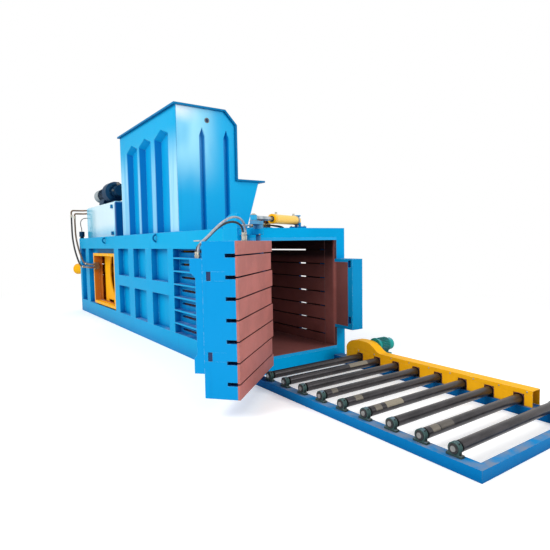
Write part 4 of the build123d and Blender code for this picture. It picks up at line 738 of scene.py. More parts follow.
def soft_box(size, radius, steps=2):
    """Box with rounded edges: each direction n of a sphere gives sign(n)(half - r) + r n."""
    half = np.array(size, float) / 2
    radius = min(radius, half.min() * 0.98)
    quarter = np.linspace(0, pi / 2, steps + 1)
    around = np.concatenate([quarter + k * pi / 2 for k in range(4)])
    up = np.concatenate([quarter - pi / 2, quarter])[:, None]
    sign_x, sign_y = np.repeat([1, -1, -1, 1], steps + 1), np.repeat([1, 1, -1, -1], steps + 1)
    sign_z = np.repeat([-1, 1], steps + 1)[:, None]
    n = np.stack(np.broadcast_arrays(np.cos(up) * np.cos(around), np.cos(up) * np.sin(around), np.sin(up)), 2)
    sign = np.stack(np.broadcast_arrays(sign_x, sign_y, sign_z), 2)
    last = (len(up) - 1) * len(around)
    corners = [k * (steps + 1) for k in range(4)]
    ends = [tuple(corners), tuple(last + k for k in corners)]
    return Shape(sign * (half - radius) + radius * n, grid_faces(len(up), len(around)) + ends)


def tube(path, radius, sides):
    """Round bar along a path: each section is the path's point plus the radius round its tangent."""
    path = np.asarray(path, float)
    tangent = np.gradient(path, axis=0)
    tangent /= np.linalg.norm(tangent, axis=1)[:, None]
    side = np.cross(tangent, np.eye(3)[np.argmin(np.abs(tangent).max(0))])
    side /= np.linalg.norm(side, axis=1)[:, None]
    third = np.cross(tangent, side)
    t = np.linspace(0, 2 * pi, sides, endpoint=False)[:, None]
    points = path[:, None] + radius * (side[:, None] * np.cos(t) + third[:, None] * np.sin(t))
    return Shape(points, capped_faces(len(path), sides))


def rounded(points, share=0.42, steps=7):
    """Path with its corners rounded: each corner is the quadratic curve a(1-t)(1-t) + 2bt(1-t) + ctt."""
    points = np.asarray(points, float)
    t = np.linspace(0, 1, steps)[:, None]
    out = [points[:1]]
    for a, b, c in zip(points[:-2], points[1:-1], points[2:]):
        start, end = b + (a - b) * share, b + (c - b) * share
        out.append(start * (1 - t) ** 2 + 2 * b * t * (1 - t) + end * t ** 2)
    return np.vstack(out + [points[-1:]])


def bolts(places, axis, size):
    """The same bolt at many places, facing one way: a chamfered hexagon head on a washer, X out of the plate."""
    head = 0.9 * size
    bolt = turned([(0, 0.96 * head), (0.62 * size, 0.96 * head), (0.7 * size, 0.8 * head)], 6)
    washer = turned([(0, 1.18 * size), (0.13 * size, 1.2 * size), (0.18 * size, 1.12 * size)], 20)
    bolt = bolt.at((0.16 * size, 0, 0)) + washer
    return joined([bolt.at(place, axis, 0.4 * i) for i, place in enumerate(places)])


def bolt_circle(centre, radius, count, first, axis, size):
    """Bolts at centre + radius (cos t a + sin t b), where a and b are the two directions across the axis."""
    t = first + np.linspace(0, 2 * pi, count, endpoint=False)[:, None]
    a, b = np.array(FAR if axis[0] else AHEAD), np.array(FAR if axis[2] else UP)
    return bolts(np.array(centre) + radius * (np.cos(t) * a + np.sin(t) * b), axis, size)


def union(size):
    """Pipe union: hexagon nut between two collars. X runs along the pipe."""
    return joined([
        turned([(0.0, 0.9 * size), (0.2 * size, size), (size, size), (1.2 * size, 0.9 * size)], 6),
        turned([(-0.5 * size, 0.62 * size), (-0.4 * size, 0.7 * size), (0.1 * size, 0.7 * size)], 20),
        turned([(1.1 * size, 0.72 * size), (1.7 * size, 0.72 * size), (1.8 * size, 0.6 * size)], 20)])


def fillet_weld(start, end, side_a, side_b, leg, pitch):
    """Rippled weld bead in a corner. Its section bulges from one leg to the other, the bead swells with each
    ripple as 1 + 0.12 times a saw-like wave, and it thins out over one leg at both ends."""
    start, end, a, b = [np.array(v, float) for v in (start, end, side_a, side_b)]
    length = np.linalg.norm(end - start)
    count = max(2, int(length / pitch)) * 2 + 1
    u = np.linspace(0, 1, count)
    wave = 1 + 0.12 * np.where(np.arange(count) % 2 == 0, 1.0, -0.4)
    wave *= 1 + 0.06 * np.sin(u * length * 23.0)
    taper = np.clip(np.minimum(u, 1 - u) * length / leg, 0.25, 1.0)
    line = (start + (end - start) * u[:, None])[:, None]
    angles = np.array([0.0, pi / 4, pi / 2])
    bulge = np.array([1.0, 0.82, 1.0])
    section = (np.cos(angles) * bulge)[:, None] * a + (np.sin(angles) * bulge)[:, None] * b
    rim = line + (leg * wave * taper)[:, None, None] * section
    return Shape(np.concatenate([rim, line - 0.0006 * (a + b)], 1), capped_faces(count, 4))


def beads(rows):
    """Weld beads for rows of (start, end, leg direction, other leg direction)."""
    sizes = bpy.context.scene.baler_sizes
    return joined([fillet_weld(*row, sizes.weld, sizes.ripple) for row in rows])


def swung(points):
    """Points given with the door shut, turned about the hinge to its open rest place."""
    c, s = cos(-DOOR_SWING), sin(-DOOR_SWING)
    hx, hy = HINGE
    return [(hx + c * (x - hx) - s * (y - hy), hy + s * (x - hx) + c * (y - hy), z) for x, y, z in points]


# Control points of the hoses; those on the door are given with the door shut
REAR_HOSE_A = [
    (-6.87, -0.78, 2.055), (-6.87, -0.78, 1.845), (-6.848, -0.781, 1.64), (-6.735, -0.778, 1.45),
    (-6.565, -0.779, 1.29), (-6.38, -0.781, 1.16), (-6.165, -0.78, 1.04), (-5.96, -0.78, 1.04),
]
REAR_HOSE_B = [
    (-6.885, -0.845, 2.085), (-6.885, -0.845, 1.85), (-6.872, -0.846, 1.62), (-6.765, -0.843, 1.405),
    (-6.59, -0.844, 1.23), (-6.395, -0.845, 1.09), (-6.17, -0.845, 0.985), (-5.96, -0.845, 0.985),
]
GAUGE_LOOP = [
    (-6.49, -0.6, 2.01), (-6.49, -0.668, 2.01), (-6.548, -0.712, 1.98), (-6.614, -0.722, 1.918),
    (-6.652, -0.708, 1.846), (-6.659, -0.69, 1.784), (-6.659, -0.69, 1.726),
]
DOOR_HOSE_A = [
    (0.398, -0.465, 1.496), (0.398, -0.465, 1.585), (0.412, -0.375, 1.655), (0.434, -0.205, 1.668),
    (0.455, -0.02, 1.625), (0.476, 0.165, 1.548), (0.491, 0.335, 1.466), (0.499, 0.462, 1.42),
    (0.5, 0.5, 1.376), (0.5, 0.5, 1.326),
]
DOOR_HOSE_B = [
    (0.405, -0.405, 1.496), (0.405, -0.405, 1.56), (0.425, -0.335, 1.612), (0.455, -0.185, 1.622),
    (0.484, -0.01, 1.584), (0.508, 0.155, 1.512), (0.525, 0.3, 1.44), (0.533, 0.42, 1.402),
    (0.534, 0.455, 1.364), (0.534, 0.455, 1.326),
]


def hose_curve(name, route, diameter, finish, body, node):
    """Smooth hose with the route's places as its control points, in place of its solid."""
    data = bpy.data.curves.new(name, "CURVE")
    data.dimensions = "3D"
    data.bevel_depth = diameter / 2
    data.bevel_resolution = 6
    data.resolution_u = 16
    data.use_fill_caps = True
    spline = data.splines.new("NURBS")
    spline.points.add(len(route) - 1)
    for point, place in zip(spline.points, route):
        point.co = (*place, 1.0)
    spline.order_u = 3
    spline.use_endpoint_u = True
    thing = linked(name, data)
    dress(thing, finish)
    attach(thing, body)
    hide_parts(node)
    return thing


def spline_length(thing):
    """Length of the hose's own line, read from its curve with no bevel."""
    flat = thing.data.copy()
    flat.bevel_depth = 0.0
    probe = linked("probe", flat)
    bpy.context.view_layer.update()
    mesh = bpy.data.meshes.new_from_object(probe)
    places = np.array([v.co[:] for v in mesh.vertices])
    bpy.data.objects.remove(probe)
    bpy.data.curves.remove(flat)
    bpy.data.meshes.remove(mesh)
    return float(np.linalg.norm(np.diff(places, axis=0), axis=1).sum())


def hose_end(place, way, diameter):
    """Crimped sleeve and nut at a hose's end. X points from the hose's end along the hose."""
    r = diameter / 2
    sleeve = turned([(0.0, 1.25 * r), (0.004, 1.38 * r), (0.3 * r, 1.38 * r), (0.4 * r, 1.26 * r),
                     (0.8 * r, 1.26 * r), (0.9 * r, 1.38 * r), (1.3 * r, 1.38 * r), (1.4 * r, 1.26 * r),
                     (1.8 * r, 1.26 * r), (1.9 * r, 1.36 * r), (2.3 * r, 1.36 * r), (2.5 * r, 1.12 * r)], 24)
    nut = turned([(-0.9 * r, 1.5 * r), (-0.8 * r, 1.62 * r), (-0.1 * r, 1.62 * r), (0.0, 1.5 * r)], 6)
    return (sleeve + nut).at(place, way)


class BALER_OT_finishes(bpy.types.Operator):
    """Make the paints and metals and give every sub-part of the frame its own"""

    bl_idname = "baler.finishes"
    bl_label = "Finishes"

    def execute(self, context):
        make_finishes()
        for name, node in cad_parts.items():
            dress(node, PART_FINISH.get(name, "blue"))
        return {"FINISHED"}


class BALER_OT_hoses(bpy.types.Operator):
    """Lay the five free hoses with their crimped ends"""

    bl_idname = "baler.hoses"
    bl_label = "Hoses"

    def execute(self, context):
        sizes = context.scene.baler_sizes
        rows = [
            ("rear_hose_a", REAR_HOSE_A, sizes.hose, "brown_hose", "base"),
            ("rear_hose_b", REAR_HOSE_B, sizes.hose, "rubber", "base"),
            ("gauge_loop", GAUGE_LOOP, sizes.gauge_hose, "rubber", "base"),
            ("door_hose_a", swung(DOOR_HOSE_A), sizes.door_hose, "white_hose", "door"),
            ("door_hose_b", swung(DOOR_HOSE_B), sizes.door_hose, "rubber", "door"),
        ]
        for node, route, diameter, finish, body in rows:
            line = hose_curve(node + "_line", route, diameter, finish, body, node)
            for tag, at, after in (("start", route[0], route[1]), ("end", route[-1], route[-2])):
                way = np.array(after) - np.array(at)
                end = hose_end(at, way, diameter).piece(f"{node}_{tag}", "plated", body)
            spline_length(line)
        return {"FINISHED"}


class BALER_OT_welds(bpy.types.Operator):
    """Run the fillet welds of the frame, the hopper and the tank, and the ring welds on the sides of the beams"""

    bl_idname = "baler.welds"
    bl_label = "Welds"

    def execute(self, context):
        rows = []
        for side in (-1, 1):
            wall, face, out = side * WALL, side * OUTER, (0, side, 0)
            for rib in RIBS:
                rows += [((x, wall, RIB_FOOT), (x, wall, RIB_TOP), way, out) for x, way in zip(rib, (BACK, AHEAD))]
            for behind, ahead in ((3, 2), (5, 4)):
                rows.append(((RIBS[behind][1], wall, 1.357), (RIBS[ahead][0], wall, 1.357), DOWN, out))
            rows.append(((EXIT_BACK, face, RIB_FOOT), (EXIT_BACK, face, 1.354), BACK, (0, -side, 0)))
        beads(rows).piece("frame_welds", "beam")
        back, front, near, far = -3.75, SIGHT_HOLE[0], -0.682, 0.335
        beads([((back, near, ROOF), (front, near, ROOF), NEAR, UP),
               ((front, near + 0.01, ROOF), (front, far, ROOF), AHEAD, UP),
               ((back, -0.6, ROOF), (back, far, ROOF), BACK, UP)]).piece("hopper_welds", "hopper")
        low, high = TANK_LOW, TANK_HIGH
        rows = [((low.x + 0.04, y, ROOF), (high.x - 0.04, y, ROOF), way, UP)
                for y, way in ((low.y, NEAR), (high.y, FAR))]
        rows += [((x, -0.56, ROOF), (x, 0.46, ROOF), way, UP) for x, way in ((high.x, AHEAD), (low.x, BACK))]
        beads(rows).piece("tank_welds", "tank")
        foot = turned([(0.0, 0.021), (0.003, 0.018), (0.008, 0.014), (0.008, 0.01), (0.0, 0.01)], 20)
        joined([foot.at((x, side * OUTER, z), (0, side, 0))
                for x in (-4.672, -2.086) for side in (-1, 1) for z in (1.457, 1.557)]).piece("ring_welds", "beam")
        return {"FINISHED"}


class BALER_OT_press_trim(bpy.types.Operator):
    """Fit the rear cover sheet, the window's bolts and the sight hole's ring"""

    bl_idname = "baler.press_trim"
    bl_label = "Press trim"

    def execute(self, context):
        cover = joined([self.cover_half(side, height) for _, side, height in BARRELS]).piece("rear_cover", "cover")
        wall = cover.modifiers.new("sheet", "SOLIDIFY")
        wall.thickness = 0.004
        wall.offset = 0.0
        x0, x1, z0, z1 = WINDOW
        places = [(x, -OUTER, z) for x in np.linspace(x0 + 0.1, x1 - 0.1, 5) for z in (z0 + 0.025, z1 - 0.025)]
        places += [(x, -OUTER, z) for x in (x0 + 0.025, x1 - 0.025) for z in np.linspace(z0 + 0.2, z1 - 0.2, 4)]
        bolts(places, NEAR, 0.009).piece("window_bolts", "plated")
        hole = ring([(0, 0.022), (0, 0.034), (0.003, 0.034), (0.0045, 0.031), (0.0045, 0.0235), (0.003, 0.022)])
        pane = turned([(-0.006, 0.0215), (-0.003, 0.0215), (-0.0025, 0.0205)])
        lay([("sight_ring", "dark_plated", hole, SIGHT_HOLE), ("sight_pane", "bolt_blue", pane, SIGHT_HOLE)])
        return {"FINISHED"}

    def cover_half(self, side, height, rows=6, columns=96):
        """Sheet with an oval opening: (1 - s) oval(t) + s rectangle(t), with t round and s outwards."""
        t = np.linspace(0, 2 * pi, columns, endpoint=False)
        s = np.linspace(0, 1, rows)[:, None]
        y0, z0, half_width, half_height = side * 0.389, height, 0.183, 0.145
        low, high = sorted((0.0, side * 0.605))
        back, foot, top = -6.56, 0.158, 1.465
        with np.errstate(divide="ignore"):
            reach_y = np.where(np.cos(t) > 0, high - y0, y0 - low) / np.abs(np.cos(t))
            reach_z = np.where(np.sin(t) > 0, top - z0, z0 - foot) / np.abs(np.sin(t))
        reach = np.minimum(reach_y, reach_z)
        y = (1 - s) * (y0 + half_width * np.cos(t)) + s * (y0 + reach * np.cos(t))
        z = (1 - s) * (z0 + half_height * np.sin(t)) + s * (z0 + reach * np.sin(t))
        return Shape(np.stack([np.full_like(y, back), y, z], 2), grid_faces(rows, columns))


# Name, finish, radius and corners of each valve pipe; the last number of a corner is its height over the roof
VALVE_PIPES = (
    ("valve_pipe_a", "white_hose", 0.01, [
        (-0.03, -0.45, 0.03), (-0.03, -0.535, 0.03), (-0.075, -0.585, 0.03), (-0.075, -0.64, 0.03),
        (-0.075, -0.665, 0.002)]),
    ("valve_pipe_b", "orange", 0.009, [
        (-0.08, -0.45, 0.03), (-0.08, -0.505, 0.03), (-0.11, -0.545, 0.03), (-0.115, -0.6, 0.03),
        (-0.115, -0.625, 0.002)]),
    ("valve_pipe_c", "rubber", 0.009, [
        (0.018, -0.285, 0.03), (0.048, -0.285, 0.03), (0.052, -0.23, 0.028), (0.05, -0.15, 0.022),
        (0.046, -0.105, 0.014), (0.046, -0.078, 0.002)]),
    ("valve_pipe_d", "orange", 0.009, [
        (0.018, -0.245, 0.03), (0.034, -0.245, 0.03), (0.034, -0.2, 0.024), (0.022, -0.12, 0.016),
        (0.018, -0.07, 0.002)]),
)


class BALER_OT_valves(bpy.types.Operator):
    """Set the valve block with its coils, unions and short pipes on the header"""

    bl_idname = "baler.valves"
    bl_label = "Header valves"

    def execute(self, context):
        x, y = -0.055, -0.325
        lay([("valve_block", "plated", soft_box((0.105, 0.215, 0.05), 0.004), (x, y, ROOF + 0.031)),
             ("valve_seat", "beam", soft_box((0.135, 0.245, 0.008), 0.002), (x, y, ROOF + 0.004))])
        body = soft_box((0.078, 0.046, 0.04), 0.004)
        coil = turned([(0, 0.018), (0.002, 0.0195), (0.034, 0.0195), (0.037, 0.017), (0.037, 0.008),
                       (0.045, 0.007)], 24)
        rows, middle, height = (y - 0.07, y, y + 0.07), x + 0.005, ROOF + 0.076
        joined([body.at((middle, row, height)) for row in rows]).piece("valve_bodies", "orange")
        coils = [coil.at((middle + way * 0.039, row, height), (way, 0, 0)) for row in rows for way in (-1, 1)]
        joined(coils).piece("valve_coils", "iron")
        height = ROOF + 0.03
        caps = [union(0.013).at((0.0, y, height)) for y in (-0.405, -0.365, -0.285, -0.245)]
        caps += [union(0.012).at((x, -0.4325, height), NEAR) for x in (-0.03, -0.08)]
        joined(caps).piece("valve_unions", "brass")
        for name, finish, radius, path in VALVE_PIPES:
            tube(rounded([(x, y, ROOF + z) for x, y, z in path]), radius, 14).piece(name, finish)
        return {"FINISHED"}


class BALER_OT_door_trim(bpy.types.Operator):
    """Dress the door's cylinder, hinge line and hose fixings"""

    bl_idname = "baler.door_trim"
    bl_label = "Door trim"

    def execute(self, context):
        base, pin = np.array((*BRACKET, CRANK_PIN[2])), np.array(CRANK_PIN)
        way = (pin - base) / np.linalg.norm(pin - base)
        port = turned([(0.046, 0.015), (0.058, 0.015), (0.059, 0.013)], 20)
        port += turned([(0.058, 0.0125), (0.072, 0.0125), (0.074, 0.01)], 6)
        head = turned([(0.0, 0.026), (0.005, 0.027), (0.007, 0.024)])
        head += turned([(0.006, 0.018), (0.013, 0.018), (0.015, 0.015)], 6)
        gland = band(0.574, 0.59, 0.0235, 0.052) + band(0.548, 0.556, 0.049, 0.0515)
        cap = band(0.046, 0.07, 0.049, 0.053) + band(0.078, 0.082, 0.049, 0.0515)
        ports = joined([port.at(base + way * along, UP) for along in (0.105, 0.5)])
        lay([("door_gland", "yellow", gland, base, way), ("door_cap", "grey", cap, base, way),
             ("door_ports", "plated", ports, ORIGIN)], "door_barrel")
        lay([("crank_pin_head", "plated", head, pin + np.array((0, 0, 0.024)), UP)], "door_rod")
        lay([("door_wiper", "iron", band(0.0, 0.006, 0.0222, 0.031), base + way * 0.59, way)], "door_barrel")
        collar = turned([(0.0, 0.03), (0.004, 0.034), (0.01, 0.034), (0.012, 0.03)])
        lay([("bracket_cap", "beam", collar, (*BRACKET, 1.712), UP)])
        spots = [(x, y, 1.596) for x in (-0.06, 0.06) for y in (0.108, 0.208)]
        bolts(spots, UP, 0.012).piece("bracket_bolts", "plated")
        nipple = turned([(0, 0.006), (0.005, 0.006), (0.006, 0.0035), (0.012, 0.0028), (0.015, 0.0036),
                         (0.017, 0.002)], 12)
        x, y = cos(NIPPLE_TURN), sin(NIPPLE_TURN)
        joined([nipple.at((HINGE[0] + 0.055 * x, HINGE[1] + 0.055 * y, z), (x, y, 0))
                for z in (0.42, 0.98, 1.5)]).piece("hinge_nipples", "brass")
        spots = swung((*route[i][:2], 1.436) for i in (0, -1) for route in (DOOR_HOSE_A, DOOR_HOSE_B))
        seat = band(0.0, 0.01, 0.0105, 0.0205, sides=6)
        joined([seat.at(spot, UP) for spot in spots]).piece("door_hose_seats", "plated", "door")
        return {"FINISHED"}


class BALER_OT_table_trim(bpy.types.Operator):
    """Finish the bearings, the roller ends and the guard of the table"""

    bl_idname = "baler.table_trim"
    bl_label = "Table trim"

    def execute(self, context):
        insert = (band(0.0, 0.004, 0.0262, 0.0335) + band(0.0, 0.006, 0.0215, 0.0258)).at(ORIGIN, NEAR)
        nipple = turned([(0.0, 0.005), (0.006, 0.005), (0.007, 0.003), (0.013, 0.0026), (0.015, 0.003)], 10)
        end = band(-0.0005, 0.0035, 0.0205, 0.0372, sides=40) + band(0.0035, 0.005, 0.0205, 0.0275, sides=40)
        tip = turned([(0.0, 0.0185), (0.0012, 0.0192), (0.0026, 0.018), (0.0026, 0.006), (0.0004, 0.0)])
        tip += band(-0.0045, -0.001, 0.0198, 0.0212, 0.0004)
        near, far, foot, spread = -0.64, 0.612, 0.093, 0.046
        faces = []
        for x in ROLLERS:
            faces.append(insert.at((x, near - 0.018, ROLLER_Z)))
            faces.append(nipple.at((x + 0.027, near, ROLLER_Z + 0.031), (0.6, 0, 0.8)))
        joined(faces).piece("bearing_inserts", "iron")
        feet = [(x, near) for x in ROLLERS] + [(ROLLERS[-1], far)]
        spots = [(x + way * spread, y, foot) for x, y in feet for way in (-1, 1)]
        bolts(spots, UP, 0.008).piece("bearing_bolts", "dark_plated")
        for i, x in enumerate(ROLLERS):
            roller = f"roller_{i + 1}"
            lay([(roller + "_end", "iron", end, (x, -0.6, ROLLER_Z), NEAR),
                 (roller + "_tip", "shaft", tip, (x, -0.6645, ROLLER_Z), NEAR)], roller)
        button = turned([(0.0, 0.0075), (0.0012, 0.0075), (0.0034, 0.0055), (0.0042, 0.0)], 16)
        screws = [button.at((x, 0.58, 0.193), NEAR) for x in np.linspace(0.54, 2.42, 9)]
        screws += [button.at((x, 0.695, 0.193), FAR) for x in np.linspace(0.95, 2.4, 7)]
        joined(screws).piece("guard_screws", "plated")
        joined([self.lip(x) for x in ROLLERS[:8]]).piece("guard_lips", "liner")
        return {"FINISHED"}

    def lip(self, x, reach=0.0435, y=0.5795, foot=0.079, steps=17):
        """Bar round a roller's gap in the guard: up, over as (reach cos t, reach sin t ^ 0.45), and down."""
        t = np.linspace(0, pi, steps)
        arch = np.stack([x + reach * np.cos(t), np.full(steps, y), ROLLER_Z + reach * np.abs(np.sin(t)) ** 0.45], 1)
        return tube(np.vstack([[(x + reach, y, foot)], arch, [(x - reach, y, foot)]]), 0.0035, 8)


class BALER_OT_gearmotor(bpy.types.Operator):
    """Give the gearmotor its fins, terminal box, cowl grille and bolts"""

    bl_idname = "baler.gearmotor"
    bl_label = "Gearmotor trim"

    def execute(self, context):
        count = context.scene.baler_sizes.fins
        x, z = MOTOR_AXIS
        fin = soft_box((0.12, 0.003, 0.013), 0.001, 1).moved(0.06, 0.0, 0.077)
        turns = [2 * pi * k / count for k in range(count)]
        # No fins behind the terminal box
        free = [turn for turn in turns if -0.75 < sin(turn) or abs(cos(turn)) > 0.7]
        joined([fin.at((x, 0.748, z), FAR, turn) for turn in free]).piece("gearmotor_fins", "teal")
        gland = turned([(0.0, 0.011), (0.006, 0.011), (0.007, 0.0085), (0.018, 0.0085), (0.019, 0.006)], 6)
        lay([("gearmotor_box", "teal", soft_box((0.045, 0.08, 0.07), 0.006), (x - 0.098, 0.8, z)),
             ("gearmotor_lid", "iron", soft_box((0.006, 0.084, 0.074), 0.002), (x - 0.1225, 0.8, z)),
             ("gearmotor_gland", "plated", gland, (x - 0.1, 0.8, z - 0.035), DOWN)])
        bolt_circle((x, 0.715, z), 0.0792, 8, 0.39, FAR, 0.0055).piece("gearmotor_bolts", "plated")
        rims = [band(0.0, 0.003, r, r + 0.004, 0.0008) for r in (0.012, 0.024, 0.036, 0.046)]
        spokes = soft_box((0.003, 0.04, 0.003), 0.001, 1).moved(0.0015, 0.03, 0.0).around(8)
        lay([("gearmotor_grille", "teal", joined(rims + [spokes]), (x, 0.9455, z), FAR),
             ("gearmotor_flange", "teal", band(0.0, 0.014, 0.07, 0.0885), (x, 0.697, z), FAR)])
        return {"FINISHED"}


class BALER_OT_pump_trim(bpy.types.Operator):
    """Give the pump set its grille, terminal box, bolts and ports, and the tank its covers and gauge"""

    bl_idname = "baler.pump_trim"
    bl_label = "Pump and tank trim"

    def execute(self, context):
        y, z = PUMP_AXIS
        box_x = -5.43
        rings = [band(0.0, 0.005, r, r + 0.006, 0.001) for r in (0.018, 0.038, 0.058, 0.078, 0.096)]
        spokes = soft_box((0.004, 0.088, 0.005), 0.001, 1).moved(0.002, 0.06, 0.0).around(12)
        lay([("cowl_grille", "iron", joined(rings + [spokes]), (-5.966, y, z), BACK),
             ("cowl_band", "grey", band(0.0, 0.012, 0.125, 0.131), (-5.69, y, z)),
             ("motor_box", "navy", soft_box((0.15, 0.085, 0.12), 0.01), (box_x, y + 0.165, z + 0.01)),
             ("motor_box_lid", "grey", soft_box((0.156, 0.006, 0.126), 0.002), (box_x, y + 0.21, z + 0.01))])
        flange, bell = -5.166, -4.826
        bolt_circle((flange, y, z), 0.15, 8, 0.39, BACK, 0.012).piece("flange_bolts", "navy")
        bolt_circle((bell, y, z), 0.118, 6, 0.2, AHEAD, 0.012).piece("bell_bolts", "navy")
        ribs = joined([band(at, at + 0.016, 0.09, 0.101) for at in (0.03, 0.075, 0.12, 0.205)])
        ports = union(0.03).at((-4.7, y, z + 0.11), UP) + union(0.02).at((-4.64, y - 0.1, z), NEAR)
        lid, lid_x, lid_z = turned([(0.0, 0.215), (0.01, 0.215), (0.012, 0.213)], 64), -5.1, 1.905
        lay([("pump_bands", "navy", ribs, (bell, y, z)), ("pump_ports", "dark_plated", ports, ORIGIN),
             ("tank_cover", "tank", lid, (lid_x, TANK_HIGH.y, lid_z), FAR)])
        screws = bolt_circle((lid_x, TANK_HIGH.y + 0.012, lid_z), 0.19, 16, 0.1, FAR, 0.012)
        screws.piece("tank_cover_bolts", "plated")
        cap = turned([(0.0, 0.034), (0.004, 0.036), (0.04, 0.036), (0.05, 0.03), (0.052, 0.0)], 36)
        can = turned([(0.0, 0.07), (0.015, 0.07), (0.017, 0.052), (0.06, 0.052), (0.074, 0.044), (0.078, 0.0)], 40)
        gauge, pane = soft_box((0.05, 0.016, 0.23), 0.006), soft_box((0.022, 0.006, 0.17), 0.003)
        # The filter and the hatch stand on the rear of the tank's roof, one behind the other across the press
        rear_x, filter_y, roof = -6.15, -0.2, 2.23
        lay([("gauge_frame", "iron", gauge, (-5.9, TANK_HIGH.y + 0.008, 1.9)),
             ("gauge_pane", "glass", pane, (-5.9, TANK_HIGH.y + 0.017, 1.9)),
             ("tank_breather", "iron", cap, (-4.8, 0.3, TANK_HIGH.z - 0.06), UP),
             ("return_filter", "navy", can, (rear_x, filter_y, roof), UP)])
        screws = bolt_circle((rear_x, filter_y, roof + 0.015), 0.061, 6, 0.0, UP, 0.008)
        screws.piece("return_filter_bolts", "plated")
        lay([("tank_hatch", "tank", soft_box((0.58, 0.16, 0.008), 0.003), (rear_x, 0.32, roof + 0.004))])
        corners = [(x, y, roof + 0.008) for x in (rear_x - 0.25, rear_x, rear_x + 0.25) for y in (0.265, 0.375)]
        bolts(corners, UP, 0.01).piece("tank_hatch_bolts", "plated")
        return {"FINISHED"}


class BALER_OT_cylinder_trim(bpy.types.Operator):
    """Put bands, port bosses and unions on the two main barrels"""

    bl_idname = "baler.cylinder_trim"
    bl_label = "Main cylinder trim"

    def execute(self, context):
        rings = joined([band(-0.57, -0.545, 0.112, 0.1195), band(-0.42, -0.405, 0.112, 0.118),
                        band(1.38, 1.42, 0.112, 0.1205)])
        boss = turned([(0.105, 0.038), (0.128, 0.036), (0.13, 0.034)])
        # Along the barrel, back from its trunnions: to the port and to the rear cap; and the cap's ring of bolts
        to_port, to_cap, bolt_ring = 0.485, 0.5745, 0.08
        for tag, side, z in BARRELS:
            pivot = np.array((-6.72, side * 0.44, z))
            way = np.array((cos(BARREL_SLOPE), -side * sin(BARREL_SLOPE), 0.0))
            barrel, port = "barrel_" + tag, pivot - way * to_port
            lay([(barrel + "_bands", "yellow", rings, pivot, way), (barrel + "_boss", "yellow", boss, port, UP),
                 (barrel + "_union", "plated", union(0.026), port + np.array((0, 0, 0.136)), UP)], barrel)
            t = 0.2 + np.linspace(0, 2 * pi, 8, endpoint=False)[:, None]
            across = np.array((-way[1], way[0], 0))
            spots = pivot - way * to_cap + bolt_ring * (np.cos(t) * across + np.sin(t) * np.array(UP))
            bolts(spots, -way, 0.012).piece(barrel + "_bolts", "plated", barrel)
        return {"FINISHED"}


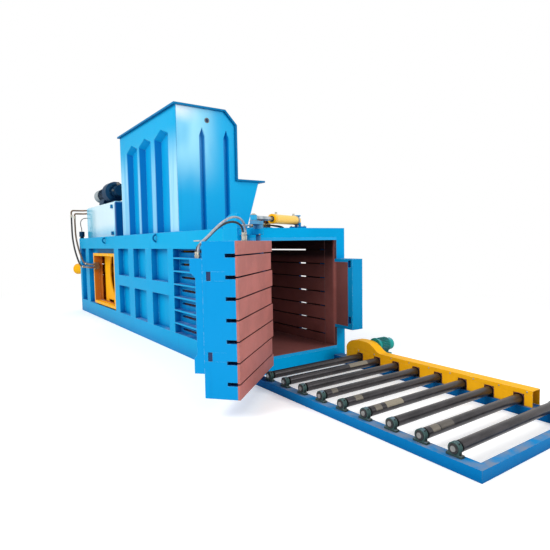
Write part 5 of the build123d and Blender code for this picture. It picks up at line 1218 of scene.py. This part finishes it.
class BALER_OT_stage(bpy.types.Operator):
    """Lay the pale floor, hang the soft lights and set up the camera of the photograph"""

    bl_idname = "baler.stage"
    bl_label = "Stage"

    def execute(self, context):
        scene = context.scene
        reach, depth = 60.0, -0.001
        corners = [(x * reach, y * reach, depth) for x, y in ((-1, -1), (1, -1), (1, 1), (-1, 1))]
        mesh = bpy.data.meshes.new("floor")
        mesh.from_pydata(corners, [], [(0, 1, 2, 3)])
        floor = linked("floor", mesh)
        floor.data.materials.append(self.floor_material())
        self.world(scene)
        self.lamp("key", place=(1.0, -10.5, 9.5), target=(-2.0, 0.0, 1.2), size=8.0, power=950.0)
        self.lamp("front", place=(11.0, 4.5, 6.5), target=(-1.0, 0.0, 1.8), size=4.0, power=500.0)
        self.camera(scene)
        scene.view_settings.view_transform = "Standard"
        return {"FINISHED"}

    def floor_material(self):
        """White floor that keeps a soft shadow and fades to plain white away from the machine."""
        tree = Finish("stage_floor")
        where = tree.place()
        # Squared distance from the machine's middle, across it counted 1.3 times
        x, y = where.x + 2.2, where.y * 1.3
        far = (x * x + y * y).step(22.0, 95.0)
        soft = tree.noise(where, 0.5, 2.0)
        tree.set(Base_Color=(soft * 0.2).mix((0.93, 0.93, 0.93), (0.9, 0.9, 0.9)), Roughness=0.9,
                 Specular_IOR_Level=0.0)
        seen, surface = tree.seen(), Wire(tree, tree.shader.outputs[0])
        glow = tree.node("Emission", {}, {"Color": (1.0, 1.0, 1.0), "Strength": 1.0})
        lift = tree.node("Emission", {}, {"Color": (1.0, 1.0, 1.0), "Strength": 0.3})
        total = tree.node("AddShader", {}, {0: surface, 1: lift})
        near = tree.node("MixShader", {}, {0: seen, 1: surface, 2: total})
        blend = tree.node("MixShader", {}, {0: far * seen, 1: near, 2: glow})
        tree.links.new(blend.socket, tree.output.inputs[0])
        return tree.material

    def world(self, scene):
        """White to the camera and in reflections, softer as a light."""
        world = bpy.data.worlds.new("studio")
        world.use_nodes = True
        tree = Tree(world.node_tree)
        tree.nodes.clear()
        output = tree.nodes.new("ShaderNodeOutputWorld")
        light = tree.node("Background", {}, {"Color": (0.97, 0.985, 1.0), "Strength": 0.7})
        white = tree.node("Background", {}, {"Color": (1.0, 1.0, 1.0), "Strength": 1.0})
        shown = tree.node("MixShader", {}, {0: tree.seen(), 1: light, 2: white})
        tree.links.new(shown.socket, output.inputs[0])
        scene.world = world

    def lamp(self, name, place, target, size, power):
        data = bpy.data.lights.new(name, "AREA")
        data.shape = "DISK"
        data.size = size
        data.energy = power
        lamp = linked(name, data)
        lamp.location = place
        lamp.rotation_euler = (Vector(target) - Vector(place)).to_track_quat("-Z", "Y").to_euler()

    def camera(self, scene):
        """Camera solved from the photograph's straight edges."""
        yaw, pitch, roll = radians(145.2948), radians(-3.8959), radians(0.9418)
        forward = Vector((cos(yaw) * cos(pitch), sin(yaw) * cos(pitch), sin(pitch)))
        level = forward.cross(Vector(UP)).normalized()
        down = forward.cross(level)
        right = cos(roll) * level + sin(roll) * down
        lower = -sin(roll) * level + cos(roll) * down
        data = bpy.data.cameras.new("photo_view")
        data.sensor_width = 36.0
        data.lens = 31.105
        data.clip_end = 200.0
        camera = linked("photo_view", data)
        camera.matrix_world = (Matrix.Translation((4.34107, -3.17881, 1.41667))
                               @ Matrix((right, -lower, -forward)).transposed().to_4x4())
        scene.camera = camera


class BALER_PT_panel(bpy.types.Panel):
    """Sizes, colours and pieces of the baler"""

    bl_label = "Recycling baler"
    bl_idname = "BALER_PT_panel"
    bl_space_type = "VIEW_3D"
    bl_region_type = "UI"
    bl_category = "Baler"

    def draw(self, context):
        layout = self.layout
        for group in (context.scene.baler_sizes, context.scene.baler_finish):
            box = layout.box()
            for key in group.bl_rna.properties.keys():
                if key not in ("rna_type", "name"):
                    box.prop(group, key)
        for operator in OPERATORS:
            layout.operator(operator.bl_idname)


OPERATORS = (
    BALER_OT_stage,
    BALER_OT_finishes,
    BALER_OT_hoses,
    BALER_OT_welds,
    BALER_OT_press_trim,
    BALER_OT_valves,
    BALER_OT_door_trim,
    BALER_OT_table_trim,
    BALER_OT_gearmotor,
    BALER_OT_pump_trim,
    BALER_OT_cylinder_trim,
)
GROUPS = (BalerSizes, BalerFinish)


def register():
    for group in GROUPS + OPERATORS + (BALER_PT_panel,):
        bpy.utils.register_class(group)
    bpy.types.Scene.baler_sizes = PointerProperty(type=BalerSizes)
    bpy.types.Scene.baler_finish = PointerProperty(type=BalerFinish)


def unregister():
    del bpy.types.Scene.baler_finish
    del bpy.types.Scene.baler_sizes
    for group in (BALER_PT_panel,) + OPERATORS[::-1] + GROUPS[::-1]:
        bpy.utils.unregister_class(group)


def main():
    register()
    for operator in OPERATORS:
        family, name = operator.bl_idname.split(".")
        getattr(getattr(bpy.ops, family), name)()


if __name__ == "__main__":
    main()
